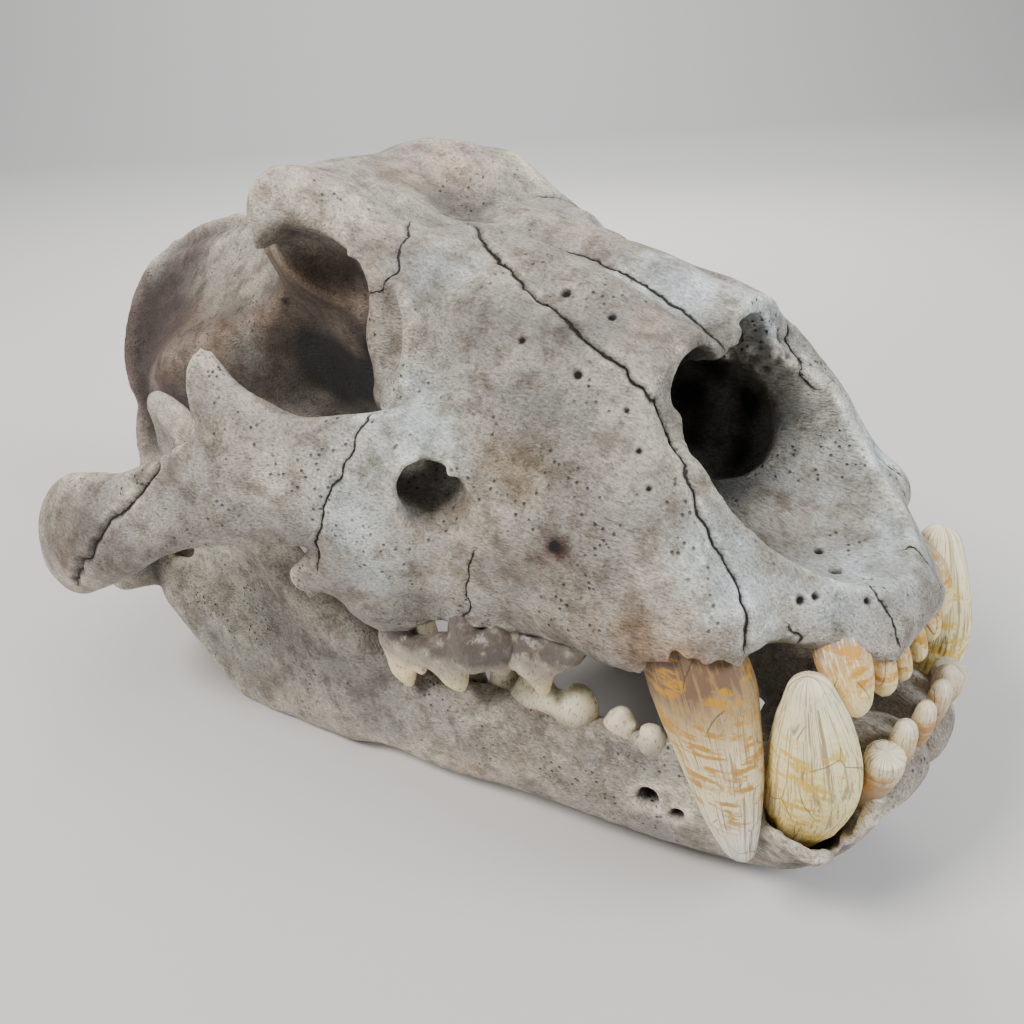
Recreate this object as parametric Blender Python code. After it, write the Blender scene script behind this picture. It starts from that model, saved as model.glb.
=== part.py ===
"""Skull of a cave lion (Panthera spelaea), life size: the cranium, the two bones of the lower jaw and the
four canine teeth, with the small teeth grown into their bones.  The skull lies on its lower jaw.

All sizes are in millimetres on the skull's own axes: X runs forward from the joint with the neck, Y to the
left and Z up from the palate.  The last section tips the skull back onto its jaw and sets it down in metres.
"""
from collections import namedtuple

import bmesh
import bpy
import numpy as np
from mathutils import Matrix

# Driving dimensions.
GRAIN = 2.5                 # cell size of the modelling clay for bone
TOOTH_GRAIN = 1.4           # cell size of the modelling clay for teeth
CLEARANCE = 0.35            # gap left round a tooth in its socket, at the jaw joint and between the jaw bones
EMPTY = 60.0                # clay value far outside the surface
TIP_BACK = 6.2              # degrees by which the resting skull points up
LIFT = 51.0                 # height of the skull origin over the floor
MIDDLE = 159.2              # distance from the skull origin forward to the middle of its length
FACE_TWIST = 0.0018         # rise of the left side of the face, for each millimetre forward and outward
FOREHEAD_TILT = 0.09        # rise of the left side of the forehead, for each millimetre outward
FOREHEAD_BEND = 0.00008     # and its fall again further out, for each cubic millimetre
CRANIUM_FACES = 3560
JAW_FACES = 1900            # both jaw bones together
CANINE_FACES = 170
INCISOR_FACES = 46
CHEEK_TOOTH_FACES = 100

BONE = (0.50, 0.46, 0.41)
JAW_BONE = (0.46, 0.42, 0.36)
ENAMEL = (0.72, 0.52, 0.27)
PALE_ENAMEL = (0.80, 0.68, 0.42)

# Half sections of the skull, from the crest down to the underside.
Section = namedtuple("Section", "x top roof drop waist waist_z base bottom")

BRAINCASE = [
    Section(-9, 95, 9, 5, 22, 76, 8, 62),
    Section(-3, 97, 14, 8, 36, 62, 18, 42),
    Section(6, 99, 17, 12, 43, 56, 34, 20),
    Section(18, 101, 18, 14, 46, 50, 46, 13),
    Section(34, 104, 18, 14, 51, 50, 46, 12),
    Section(60, 107, 20, 14, 54, 60, 38, 12),
    Section(90, 110, 18, 12, 48, 66, 28, 14),
    Section(115, 115, 18, 12, 37, 74, 20, 18),
    Section(136, 124.5, 29, 9, 33, 84, 18, 24),
    Section(150, 127, 38, 9, 36, 92, 20, 28),
    Section(160, 127, 44, 7, 38, 94, 22, 28),
    Section(171, 122, 44, 4, 38, 92, 22, 26),
    Section(184, 113, 42, 4, 38, 88, 24, 22),
    Section(198, 107, 39, 5, 42, 76, 34, 14),
    Section(214, 103, 36, 8, 50, 64, 44, 8),
]
MUZZLE = [
    Section(196, 106, 40, 8, 54, 64, 52, -2),
    Section(212, 103, 39, 8, 63, 54, 67, -5),
    Section(226, 99, 37, 8.5, 67, 44, 66, -3),
    Section(245, 92, 38.5, 7.5, 64, 38, 61, -2),
    Section(265, 83, 37, 7, 59, 34, 55, 0),
    Section(284, 72, 36, 6, 54, 30, 50, 2),
    Section(292, 63, 37, 7, 52, 28, 48, 2),
    Section(300, 54, 37, 7, 51, 24, 47, 3),
    Section(314, 40, 31, 9, 44, 18, 35, 2),
    Section(326, 28, 26, 9, 32, 12, 27, 1.5),
    Section(334, 18, 20, 7, 24, 8, 21, 1),
    Section(339, 11, 15, 5, 18, 5, 16, -0.5),
]


# ------------------------------------------------------------------ modelling clay
def smooth_path(points, pieces):
    """Catmull-Rom curve through the points, with the given number of pieces in each span."""
    points = np.asarray(points, float)
    if len(points) < 3:
        share = np.linspace(0, 1, pieces + 1)[:, None]
        return points[0] * (1 - share) + points[-1] * share
    ends = np.vstack([2 * points[0] - points[1], points, 2 * points[-1] - points[-2]])
    t = np.linspace(0, 1, pieces, endpoint=False)[:, None]
    spans = []
    for a, b, c, d in zip(ends, ends[1:], ends[2:], ends[3:]):
        spans.append(b + 0.5 * t * (c - a + t * (2 * a - 5 * b + 4 * c - d + t * (3 * b - a - 3 * c + d))))
    return np.vstack(spans + [points[-1:]])


def ball(centre, radii, lean=0.0):
    """Ellipsoid; lean tips its nose down, in degrees."""
    centre = np.array(centre, float)
    radii = np.array(radii, float)
    cosine = np.cos(np.radians(lean))
    sine = np.sin(np.radians(lean))
    reach = np.array([np.hypot(radii[0] * cosine, radii[2] * sine), radii[1],
                      np.hypot(radii[0] * sine, radii[2] * cosine)])

    def distance(x, y, z):
        x, y, z = x - centre[0], y - centre[1], z - centre[2]
        u = (x * cosine - z * sine, y, x * sine + z * cosine)
        near = np.sqrt(sum((a / r) ** 2 for a, r in zip(u, radii)))
        slope = np.sqrt(sum((a / r ** 2) ** 2 for a, r in zip(u, radii)))
        return near * (near - 1) / np.maximum(slope, 1e-6)
    return centre - reach, centre + reach, distance


def rod(points, radii, flat=(0, 1, 0), squash=1.0, pieces=4):
    """Bent rod whose radius follows the points; its section is squashed along the flat direction."""
    points = np.asarray(points, float)
    radii = np.ones(len(points)) * radii
    path = smooth_path(np.column_stack([points, radii]), pieces if len(points) > 2 else 1)
    normal = np.array(flat, float) / np.linalg.norm(flat)
    stretch = np.eye(3) + (1 / squash - 1) * np.outer(normal, normal)
    line = path[:, :3] @ stretch.T
    reach = np.maximum(path[:, 3], 0.05)

    def distance(x, y, z):
        place = [x * row[0] + y * row[1] + z * row[2] for row in stretch]
        nearest = EMPTY * 9
        for start, end, r0, r1 in zip(line, line[1:], reach, reach[1:]):
            along = end - start
            offset = [p - s for p, s in zip(place, start)]
            share = sum(o * a for o, a in zip(offset, along)) / max(along @ along, 1e-9)
            share = np.clip(share, 0, 1)
            gap = np.sqrt(sum((o - share * a) ** 2 for o, a in zip(offset, along)))
            nearest = np.minimum(nearest, gap - r0 - (r1 - r0) * share)
        return np.where(nearest > 0, nearest * (1 + squash) / 2, nearest * squash)
    low = (path[:, :3] - reach[:, None]).min(0)
    high = (path[:, :3] + reach[:, None]).max(0)
    return low, high, distance


def half_outline(section):
    """Half outline of a skull section, from the middle of the roof to the middle of the underside."""
    x, top, roof, drop, waist, waist_z, base, bottom = section
    eaves = top - drop
    return np.array([(0, top), (roof * 0.6, top - drop * 0.25), (roof, eaves),
                     ((roof + waist) / 2, (eaves + waist_z) / 2), (waist, waist_z),
                     (base, bottom + (waist_z - bottom) * 0.28), (base * 0.85, bottom), (0, bottom)])


def loft(sections):
    """Body skinned over half sections that follow one another along X, alike on both sides."""
    rows = np.array(sections, float)
    dense = smooth_path(rows, 16)
    outlines = [half_outline(row) for row in dense]
    low = np.array([rows[0, 0], 0, min(o[:, 1].min() for o in outlines)])
    high = np.array([rows[-1, 0], max(o[:, 0].max() for o in outlines), max(o[:, 1].max() for o in outlines)])

    def slice_distance(outline, y, z):
        half = smooth_path(outline, 5)
        ring = np.vstack([half, (half * (-1, 1))[::-1][1:-1]])
        nearest = np.full((len(y), z.shape[1]), 1e9)
        inside = np.zeros(nearest.shape, bool)
        for (ay, az), (by, bz) in zip(ring, np.roll(ring, -1, 0)):
            dy, dz = by - ay, bz - az
            share = np.clip(((y - ay) * dy + (z - az) * dz) / max(dy * dy + dz * dz, 1e-9), 0, 1)
            nearest = np.minimum(nearest, (y - ay - share * dy) ** 2 + (z - az - share * dz) ** 2)
            if az != bz:
                inside ^= ((az > z) != (bz > z)) & (y < dy * (z - az) / dz + ay)
        return np.sqrt(nearest) * np.where(inside, -1, 1)

    def distance(x, y, z):
        result = []
        for place in x.ravel():
            held = np.clip(place, rows[0, 0], rows[-1, 0])
            sizes = [np.interp(held, dense[:, 0], column) for column in dense.T]
            gap = slice_distance(half_outline(sizes), np.abs(y.reshape(-1, 1)), z.reshape(1, -1))
            past_end = abs(place - held)
            if past_end:
                gap = np.where(gap > 0, np.hypot(gap, past_end), np.maximum(gap, past_end))
            result.append(gap)
        return np.array(result)
    return low, high, distance


def corner_blocks(grid, spans):
    """Views of a grid shifted over the corners of each cell: spans holds the axes the block reaches along."""
    shifts = [(0, 1) if axis in spans else (0,) for axis in range(3)]
    for i in shifts[0]:
        for j in shifts[1]:
            for k in shifts[2]:
                yield grid[tuple(slice(s, n - 1 + s) if axis in spans else slice(None)
                                 for axis, s, n in zip(range(3), (i, j, k), grid.shape))]


def pieces_in_cells(inside):
    """Corners less edges plus sides less middle, all inside: 1 wherever a cell's inside hangs together."""
    total = 0
    for spans, sign in (((), 1), ((0,), -1), ((1,), -1), ((2,), -1), ((0, 1), 1), ((0, 2), 1), ((1, 2), 1),
                        ((0, 1, 2), -1)):
        full = np.all(np.stack(list(corner_blocks(inside, spans))), axis=0).astype(int)
        rest = [axis for axis in range(3) if axis not in spans]
        total = total + sign * sum(corner_blocks(full, rest))
    return total


def fill_pinches(field, grain):
    """Fill each cell where two sheets of the surface meet, so that the body nowhere touches itself."""
    while True:
        inside = field < 0
        solid = pieces_in_cells(inside)
        empty = pieces_in_cells(~inside)
        pinched = (solid > 0) & (empty > 0) & ((solid != 1) | (empty != 1))
        pinched |= (solid < 1) & (empty > 1)
        pinched |= (empty < 1) & (solid > 1)
        if not pinched.any():
            return
        for corners in corner_blocks(field, (0, 1, 2)):
            corners[pinched] = np.minimum(corners[pinched], -0.1 * grain)


class Clay:
    """Block of clay for the left half (y >= 0) of a body, or for a piece on the left side only.

    Each cell corner holds the distance to the surface.  Shapes are added or cut away with a soft blend."""

    def __init__(self, low, high, grain):
        self.axes = [np.arange(a, b + grain, grain) for a, b in zip(low, high)]
        self.grain = grain
        self.field = np.full([len(axis) for axis in self.axes], EMPTY)

    def near(self, shape, margin):
        low, high, distance = shape
        window = tuple(slice(*np.searchsorted(axis, (a - margin, b + margin)))
                       for axis, a, b in zip(self.axes, low, high))
        x, y, z = [axis[part] for axis, part in zip(self.axes, window)]
        return window, distance(x[:, None, None], y[None, :, None], z[None, None, :])

    def add(self, shape, soft=3.0):
        window, gap = self.near(shape, soft + 8)
        here = self.field[window]
        blend = np.maximum(soft - np.abs(here - gap), 0)
        self.field[window] = np.minimum(here, gap) - blend ** 2 / (4 * soft)

    def cut(self, shape, soft=3.0):
        window, gap = self.near(shape, soft + 2)
        here = self.field[window]
        blend = np.maximum(soft - np.abs(here + gap), 0)
        self.field[window] = np.maximum(here, -gap) + blend ** 2 / (4 * soft)

    def skin(self, both_sides=False):
        """Corners and faces of the surface: one corner in every cell that the surface passes through."""
        field = self.field
        start = np.array([axis[0] for axis in self.axes])
        if both_sides:
            field = np.concatenate([field[:, :0:-1], field], axis=1)
            start[1] = -self.axes[1][-1]
        field = field.copy()
        fill_pinches(field, self.grain)
        number = np.full(field.shape, -1)
        total = np.zeros((*field.shape, 3))
        count = np.zeros(field.shape)
        rings = []
        for axis in range(3):
            step = np.eye(3, dtype=int)[axis]
            side = np.eye(3, dtype=int)[(axis + 1) % 3]
            rise = np.eye(3, dtype=int)[(axis + 2) % 3]
            before = field[tuple(slice(0, n - s) for n, s in zip(field.shape, step))]
            after = field[tuple(slice(s, n) for n, s in zip(field.shape, step))]
            edge = np.argwhere((before < 0) != (after < 0))
            a = before[tuple(edge.T)]
            b = after[tuple(edge.T)]
            crossing = edge + step * (a / (a - b))[:, None]
            cells = [edge, edge - side, edge - side - rise, edge - rise]
            for cell in cells:
                np.add.at(total, tuple(cell.T), crossing)
                np.add.at(count, tuple(cell.T), 1)
            ring = np.stack(cells, 1)
            ring[a >= 0] = ring[a >= 0][:, ::-1]
            rings.append(ring)
        used = np.argwhere(count > 0)
        number[tuple(used.T)] = np.arange(len(used))
        corners = total[tuple(used.T)] / count[tuple(used.T)][:, None] * self.grain + start
        rings = np.concatenate(rings)
        faces = number[rings[..., 0], rings[..., 1], rings[..., 2]]
        return corners, faces


# ------------------------------------------------------------------ Blender helpers
def material(name, colour, roughness):
    made = bpy.data.materials.new(name)
    made.use_nodes = True
    shader = made.node_tree.nodes["Principled BSDF"]
    shader.inputs["Base Color"].default_value = (*colour, 1.0)
    shader.inputs["Roughness"].default_value = roughness
    shader.inputs["Metallic"].default_value = 0.0
    return made


def make_object(name, corners, faces, look=None):
    mesh = bpy.data.meshes.new(name)
    mesh.from_pydata(np.asarray(corners).tolist(), [], np.asarray(faces).tolist())
    mesh.validate()
    made = bpy.data.objects.new(name, mesh)
    bpy.context.scene.collection.objects.link(made)
    if look:
        mesh.materials.append(look)
    return made


def apply_modifiers(target):
    """Bake the object's modifiers into its mesh."""
    graph = bpy.context.evaluated_depsgraph_get()
    baked = bpy.data.meshes.new_from_object(target.evaluated_get(graph))
    target.modifiers.clear()
    target.data = baked


def thin_out(target, faces):
    """Reduce the skin to about the given number of triangles, smoothing it first."""
    smooth = target.modifiers.new("smooth", "SMOOTH")
    smooth.factor = 0.5
    smooth.iterations = 2
    triangles = target.modifiers.new("triangles", "TRIANGULATE")
    triangles.quad_method = "SHORTEST_DIAGONAL"
    fewer = target.modifiers.new("fewer", "DECIMATE")
    fewer.ratio = min(1.0, faces / (2 * len(target.data.polygons)))
    apply_modifiers(target)


def swollen(source, amount):
    """Copy of a body grown outward by the given amount, to cut a clearance with."""
    grown = make_object(source.name + "_clearance", [], [])
    grown.data = source.data.copy()
    normals = [corner.normal.copy() for corner in grown.data.vertices]
    for corner, normal in zip(grown.data.vertices, normals):
        corner.co = corner.co + normal * amount
    return grown


def combine(target, tool, operation):
    """Join a tool to the target or cut it away, then remove the tool."""
    step = target.modifiers.new(operation.lower(), "BOOLEAN")
    step.operation = operation
    step.solver = "EXACT"
    step.object = tool
    tool.hide_render = True
    tool.display_type = "WIRE"
    apply_modifiers(target)
    bpy.data.objects.remove(tool)


def mirrored(source, name):
    """Copy of a left-hand body for the right side."""
    twin = make_object(name, [], [])
    twin.data = source.data.copy()
    twin.data.transform(Matrix.Diagonal((1, -1, 1, 1)))
    twin.data.flip_normals()
    return twin


def slice_off(target, point, normal):
    """Cut away all that lies on the normal's side of a plane and close the cut with a flat face."""
    shape = bmesh.new()
    shape.from_mesh(target.data)
    everything = shape.verts[:] + shape.edges[:] + shape.faces[:]
    result = bmesh.ops.bisect_plane(shape, geom=everything, plane_co=point, plane_no=normal, dist=1e-5,
                                    clear_outer=True)
    rim = [item for item in result["geom_cut"] if isinstance(item, bmesh.types.BMEdge)]
    bmesh.ops.holes_fill(shape, edges=rim, sides=0)
    bmesh.ops.triangulate(shape, faces=[face for face in shape.faces if len(face.verts) > 4])
    shape.to_mesh(target.data)
    shape.free()


# ------------------------------------------------------------------ the bones
def cranium_clay():
    clay = Clay((-32, 0, -22), (346, 137, 137), GRAIN)
    clay.add(loft(BRAINCASE), 1)
    clay.add(loft(MUZZLE), 6)
    # end of the upper jaw behind the last cheek tooth
    clay.add(ball((201, 62, 7), (14, 12, 15)), 8)
    # brows, with the hollow of the stop between them
    clay.add(ball((156, 21, 106), (37, 24, 20.5)), 10)
    clay.add(ball((166, 32, 105.5), (20, 15, 15)), 8)
    clay.add(rod([(178, 34, 108), (192, 31, 100), (212, 28, 93.8)], (8, 8, 8)), 8)
    clay.cut(ball((199, 0, 117), (15, 9, 12), 25), 10)
    # nasal bones, arched side by side and ending in a point beside the opening
    clay.add(rod([(205, 11, 92), (226, 12, 87.5), (250, 13, 80.5), (270, 14, 71), (285, 14.5, 65)],
                 (12, 12.5, 12.5, 12.5, 12.5)), 4)
    clay.add(rod([(256, 25, 77), (268, 26.5, 73), (279, 26, 69.5)], (8, 8, 7)), 4)
    # valley between the nasal bones
    clay.cut(rod([(216, 0, 104), (228, 0, 101), (245, 0, 95.5), (265, 0, 87), (283, 0, 77.5)],
                 (3, 4.3, 4.5, 4.5, 4.5)), 4)
    # swelling over the root of the canine
    clay.add(rod([(300, 43, 18), (294, 43, 28), (285, 41, 41), (268, 36, 56)], (10.5, 11, 11, 9)), 11)
    clay.add(rod([(264, 49, 11), (281, 48.8, 11.5), (297, 47.2, 12.5), (308, 44, 15)],
                 (10, 12, 12.2, 10.5)), 6)
    clay.cut(rod([(321, 64, -8), (319, 46, -3), (321, 33, -6), (318, 25, -12)], (13, 14.5, 12.5, 8)), 3)
    # front rim of the orbit
    clay.add(ball((208, 48, 78), (16, 9, 18), -30), 8)
    # orbit and temporal fossa
    clay.cut(ball((184, 74, 85), (41, 37, 29)), 5)
    clay.cut(ball((148, 86, 72), (46, 42, 36)), 6)
    clay.cut(ball((180, 60, 93), (26, 21, 19)), 4)
    clay.cut(ball((178, 80, 44), (16, 26, 24)), 6)
    # frontal process over the eye
    clay.add(rod([(199, 38, 98.5), (190, 39, 105.5), (181, 41.5, 112), (172, 45.5, 117), (165, 50, 115.3),
                  (160, 53.5, 108.5)], (6, 7.5, 9, 9.5, 8.4, 4.8), flat=(0.3, 0.5, 0.8), squash=0.68), 6)
    clay.add(rod([(190, 37, 102), (197, 37.5, 96), (201, 40, 87), (201.5, 43, 78), (204, 47, 70)],
                 (6, 8.4, 8.8, 8.4, 6)), 6)
    clay.cut(ball((176, 56, 92), (24, 22, 17)), 2.5)
    # cheek bone from the upper jaw outward and back
    clay.add(rod([(232, 57, 50), (221, 67, 47), (206, 77, 46), (190, 88, 47), (172, 99, 44), (152, 108, 37.5),
                  (136, 113, 32)], (16, 18.5, 19, 19, 16, 13, 10), flat=(0.42, 1, 0.12), squash=0.4), 7)
    clay.add(rod([(184, 87, 60), (174, 88, 67), (168, 87, 75), (166, 85, 80)], (12, 10, 7, 3.5),
                 flat=(0.45, 1, 0.1), squash=0.5), 6)
    clay.add(rod([(212, 73, 28), (201, 80, 20), (191, 84.5, 15)], (11, 8, 5),
                 flat=(0.5, 1, 0), squash=0.6), 4)
    clay.add(rod([(216, 70, 32), (207, 70, 14), (205, 66, 1)], (17, 15, 9),
                 flat=(0.35, 1, 0.15), squash=0.6), 8)
    # back half of the cheek arch, down to the jaw joint
    clay.add(rod([(158, 107, 41), (142, 112, 34), (122, 116, 28), (104, 117, 22.5), (90, 114, 15),
                  (78, 104, 7), (70, 90, 4), (64, 74, 6), (58, 56, 12)],
                 (10, 15, 19, 20.5, 19, 14, 11, 12, 13),
                 flat=(0.1, 0.93, 0.3), squash=0.5), 5)
    clay.add(rod([(54, 60, -6), (53, 78, -8), (55, 95, -4)], (6, 7, 5)), 6)
    clay.add(rod([(74, 60, 5), (72, 80, 7), (76, 98, 11)], (9, 8, 8), flat=(0, 0, 1), squash=0.6), 6)
    # sagittal crest
    clay.add(rod([(132, 0, 116), (100, 0, 109), (60, 0, 106), (20, 0, 102), (-6, 0, 95), (-15, 0, 90)],
                 (5, 5, 5.5, 6, 6.5, 5), squash=0.6), 7)
    # nuchal crest, fanning out and down to the mastoid process
    clay.add(rod([(-12, 0, 92), (-8, 14, 88), (-2, 28, 76), (4, 38, 62), (9, 44, 48), (14, 45, 36),
                  (22, 52, 24), (32, 57, 14)], (7, 7, 7, 7, 7, 7, 8, 8), flat=(1, 0.25, 0.3), squash=0.65), 7)
    clay.add(rod([(36, 58, 10), (34, 58, 0), (34, 56, -7)], (9, 8, 5)), 5)
    # occipital condyle, ear bulla and the process between them
    clay.add(ball((0, 17, 25), (12, 10, 13)), 4)
    clay.add(ball((54, 27, 6), (21, 13, 15)), 4)
    clay.add(rod([(26, 44, 10), (20, 38, -4)], (8, 4.5)), 4)
    # wall of the palate behind the last tooth
    clay.add(rod([(168, 24, 18), (145, 20, 10), (122, 17, 3)], (10, 8, 5), squash=0.5), 5)
    # nasal cavity, open to the front, and the passage behind the palate
    clay.cut(rod([(352, 0, 30), (334, 0, 29), (318, 0, 34), (302, 0, 43), (286, 0, 45), (262, 0, 46),
                  (236, 0, 51)], (14, 18, 26.5, 32, 30, 25, 17), flat=(0, 0, 1), squash=0.74), 3)
    clay.cut(rod([(352, 0, 52), (326, 0, 53), (311, 0, 60)], (30, 29, 21)), 3)
    clay.cut(rod([(304, -30, 71), (304, 30, 71)], (19.5, 19.5)), 2)
    clay.cut(rod([(310, 13.6, 60), (288, 13.6, 65), (266, 13, 68)], (11, 11, 9), (0, 0, 1), 0.8), 1)
    clay.cut(rod([(170, 0, 6), (196, 0, 16)], (12, 9)), 5)
    # canal below the orbit
    clay.cut(rod([(250, 80, 40), (238, 68, 42), (224, 60, 46), (196, 60, 56)], (9.5, 9.7, 9, 9.5),
                 flat=(1, 0.3, 0), squash=0.8), 3)
    # vault of the palate
    clay.cut(rod([(318, 0, -10), (290, 0, -10), (250, 0, -16), (205, 0, -20), (176, 0, -12)],
                 (10, 14, 24, 32, 26)), 6)
    # hole for the spinal cord
    clay.cut(rod([(-24, 0, 33), (26, 0, 36)], (12, 11)), 3)
    return clay


def buried_twist(x, y, z):
    """Height added by the slight twist that the ground gave the skull: the face stands higher on the left."""
    above_palate = np.clip((z - 15) / 50, 0, 1)
    above_palate = above_palate ** 2 * (3 - 2 * above_palate)
    face = FACE_TWIST * (np.clip(x - 240, 0, 48) - 2.2 * np.clip(x - 288, 0, 20)) * above_palate
    held = np.clip(y, -48, 48)
    forehead = FOREHEAD_TILT * held - FOREHEAD_BEND * held ** 3
    near_brows = np.clip(1.6 - np.abs(x - 166) / 35, 0, 1) * np.clip((z - 104) / 14, 0, 1)
    return face * y + forehead * near_brows


def jaw_clay():
    clay = Clay((44, -10, -96), (352, 107, 66), GRAIN)
    # body of the jaw, deeper to the front
    clay.add(rod([(160, 66, -45), (185, 63, -47), (206, 58, -49.5), (240, 49, -49.5), (262, 44, -50.5),
                  (284, 36, -54), (300, 28, -56)], (19.5, 19, 19.5, 19.5, 19, 19.5, 20),
                 flat=(0.25, 1, 0), squash=0.42), 8)
    # chin
    clay.add(rod([(334, 10, -33), (327, 10, -46), (318, 9, -60), (306, 8, -71), (290, 6, -67), (276, 5, -57)],
                 (10, 12.5, 14.5, 14.5, 11.5, 7), squash=0.9), 8)
    clay.add(rod([(330, 14, -32), (328, 18, -41), (318, 18, -58)], (9, 10.5, 12.5)), 6)
    # bone round the canine
    clay.add(rod([(326.5, 32, -38), (320.5, 29.5, -48.5), (310, 25, -60), (294, 22, -64)],
                 (12.4, 12.6, 12, 11)), 6)
    clay.add(rod([(337, 6, -36), (335.5, 15, -36.5), (332, 22, -39)], (8.8, 9, 9.4)), 5)
    # upright branch with its strengthened front edge
    clay.add(rod([(158, 69, -36), (134, 72, -16), (116, 74, 10), (104, 74, 34), (95, 74, 47)],
                 (30, 30, 23, 16, 8), flat=(0.12, 1, 0), squash=0.25), 8)
    clay.add(rod([(186, 64, -28), (160, 69, -8), (140, 72, 16), (122, 74, 36), (106, 74, 50), (95, 74, 54)],
                 (7, 7, 7, 6, 5, 4)), 8)
    # lower edge, angle and back edge
    clay.add(rod([(168, 67, -52.5), (140, 73, -56), (122, 77, -57), (108, 79, -56), (99, 80, -47),
                  (92, 82, -34), (82, 83, -25)], (11, 10, 9, 8, 7, 8, 8), flat=(0, 1, 0.2), squash=0.75), 8)
    clay.add(rod([(120, 75, -24), (98, 79, -22), (78, 82, -18)], (18, 14, 9), squash=0.5), 8)
    clay.add(rod([(160, 69, -44), (128, 74, -42), (112, 78, -40)], (20, 19, 15), squash=0.36), 6)
    # hinge of the jaw
    clay.add(rod([(69, 64, -14), (66, 81, -16), (68, 97, -14)], (6, 8, 6)), 5)
    # hollow for the chewing muscle
    clay.cut(ball((142, 94, -18), (38, 17, 24), 30), 8)
    # wide socket of the canine, its rim lower on the outer side
    clay.cut(rod([(306, 54, -18), (326, 54, -18), (340, 50, -9)], (25, 25, 22)), 2)
    clay.cut(rod([(312.5, 25.5, -63), (319.5, 28.5, -51), (325.5, 31.5, -41), (329.5, 34, -30),
                  (333, 37, -16)], (7, 9.8, 12.2, 13.5, 15), (0.2, 1, 0), 0.9), 1)
    clay.field = np.maximum(clay.field, -4 - clay.axes[1][:, None])
    return clay


# ------------------------------------------------------------------ the teeth
def tooth_clay(rods):
    """Tooth made of rods; each rod is (points, radii, flat direction, squash)."""
    shapes = [rod(*sizes) for sizes in rods]
    clay = Clay(np.min([shape[0] for shape in shapes], axis=0) - 4,
                np.max([shape[1] for shape in shapes], axis=0) + 4,
                TOOTH_GRAIN)
    for shape in shapes:
        clay.add(shape, 2.6)
    return clay


def moved(rods, shift, swell=1.0):
    """The same rods in another place, and stouter by the given factor."""
    return [(np.add(points, shift), np.multiply(radii, swell), flat, squash)
            for points, radii, flat, squash in rods]


UPPER_CANINE = [([(290, 44.5, 24), (299, 45.4, 10), (303.6, 45.8, -1), (305.6, 46, -9), (309, 45.8, -25),
                  (311, 45.2, -41), (312.6, 44.8, -51), (313.4, 44.5, -56)],
                 (11, 13.4, 14.2, 13.6, 11.2, 8.1, 5, 2.6), (0, 1, 0.1), 0.76)]
LOWER_CANINE = [([(309, 23.5, -70), (316.5, 26.5, -57), (321.2, 29, -46), (325, 31.4, -36.7),
                  (327.5, 33.5, -26.5),
                  (328.4, 35.2, -16.5), (328.6, 36.6, -7), (328.6, 37.8, 0.5), (328.4, 38.6, 6)],
                 (5, 7.8, 10, 11.4, 11.7, 10.6, 8.4, 6, 3.9), (0.2, 1, 0), 0.86)]
LEFT_CANINE_SHIFT = (1, 1.5, 5)     # the left lower canine has risen in its wide socket
LEFT_CANINE_SWELL = 1.06
EDGEWISE = (1, 0, 0.2)
UPPER_ROW_SHIFT = 1.2               # both rows of incisors stand a little off the middle line
LOWER_ROW_SHIFT = -1.2
UPPER_INCISORS = [
    [([(320, 19, 16), (326, 22.5, 9), (330.2, 25, 2), (332.8, 26, -4), (334.2, 26.4, -8.5),
       (334.8, 26.5, -11)],
      (5.5, 6.8, 7.2, 5.9, 3.9, 2.2), EDGEWISE, 0.86)],
    [([(327, 13.5, 10), (333.5, 14, 0), (335.8, 14.4, -6.5), (336, 14.6, -11)],
      (3.6, 3.9, 3.8, 2.7), EDGEWISE, 0.86)],
    [([(329, 4.8, 6), (335, 5, -3), (336.8, 5.1, -8.5), (337, 5.1, -12)],
      (2.7, 2.9, 2.8, 2.1), EDGEWISE, 0.86)],
]
LOWER_INCISORS = [
    [([(334, 20, -42), (338.2, 21, -32), (340.6, 21.6, -25), (341.4, 22, -21.5)],
      (3.6, 4.6, 5.2, 4.6), EDGEWISE, 0.9)],
    [([(337, 13, -38), (340.5, 13.4, -29), (342.4, 13.8, -21), (343, 14, -16.2)],
      (2.8, 3.4, 3.4, 2.3), EDGEWISE, 0.9)],
    [([(338, 5, -36), (341.8, 5.1, -28), (344, 5.2, -20), (344.6, 5.3, -15.2)],
      (2.4, 2.9, 3, 2), EDGEWISE, 0.9)],
]
BLADEWISE = (0.25, 1, 0)
UPPER_CARNASSIAL = [
    ([(207, 63.5, 6), (206, 66, -10)], (5.2, 6), BLADEWISE, 0.9),
    ([(229, 59, 8), (233, 61, -1), (235, 62, -8)], (3.4, 5, 7), BLADEWISE, 0.8),
    ([(243, 55, 4), (243, 57, -6)], (4.5, 5), BLADEWISE, 0.9),
    ([(204, 66.5, -12), (214, 66.5, -12.5), (226, 64.5, -11.5), (238, 60.5, -8), (245, 57, -5)],
     (4.4, 4.8, 5, 5, 4), BLADEWISE, 0.85),
    ([(205.5, 66.5, -13), (206, 67, -22), (206.5, 66.5, -28)], (6, 5, 2.2), BLADEWISE, 0.6),
    ([(226, 64.5, -11), (228, 64, -18), (229, 63.5, -22)], (7, 5, 2.4), BLADEWISE, 0.7),
]
UPPER_PREMOLAR = [
    ([(247, 52, 4), (247.5, 53, -7)], (4.5, 5), BLADEWISE, 0.9),
    ([(260, 50, 6), (259.5, 51, -4)], (4.5, 4.6), BLADEWISE, 0.9),
    ([(243.5, 54, -9), (253, 54, -10.5), (265, 51.5, -3)], (4, 4.6, 4.2), BLADEWISE, 0.85),
    ([(253.5, 53, -7), (253.8, 52.8, -14), (253.6, 52.4, -20)], (6.6, 4.4, 2.2), BLADEWISE, 0.8),
]
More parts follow.
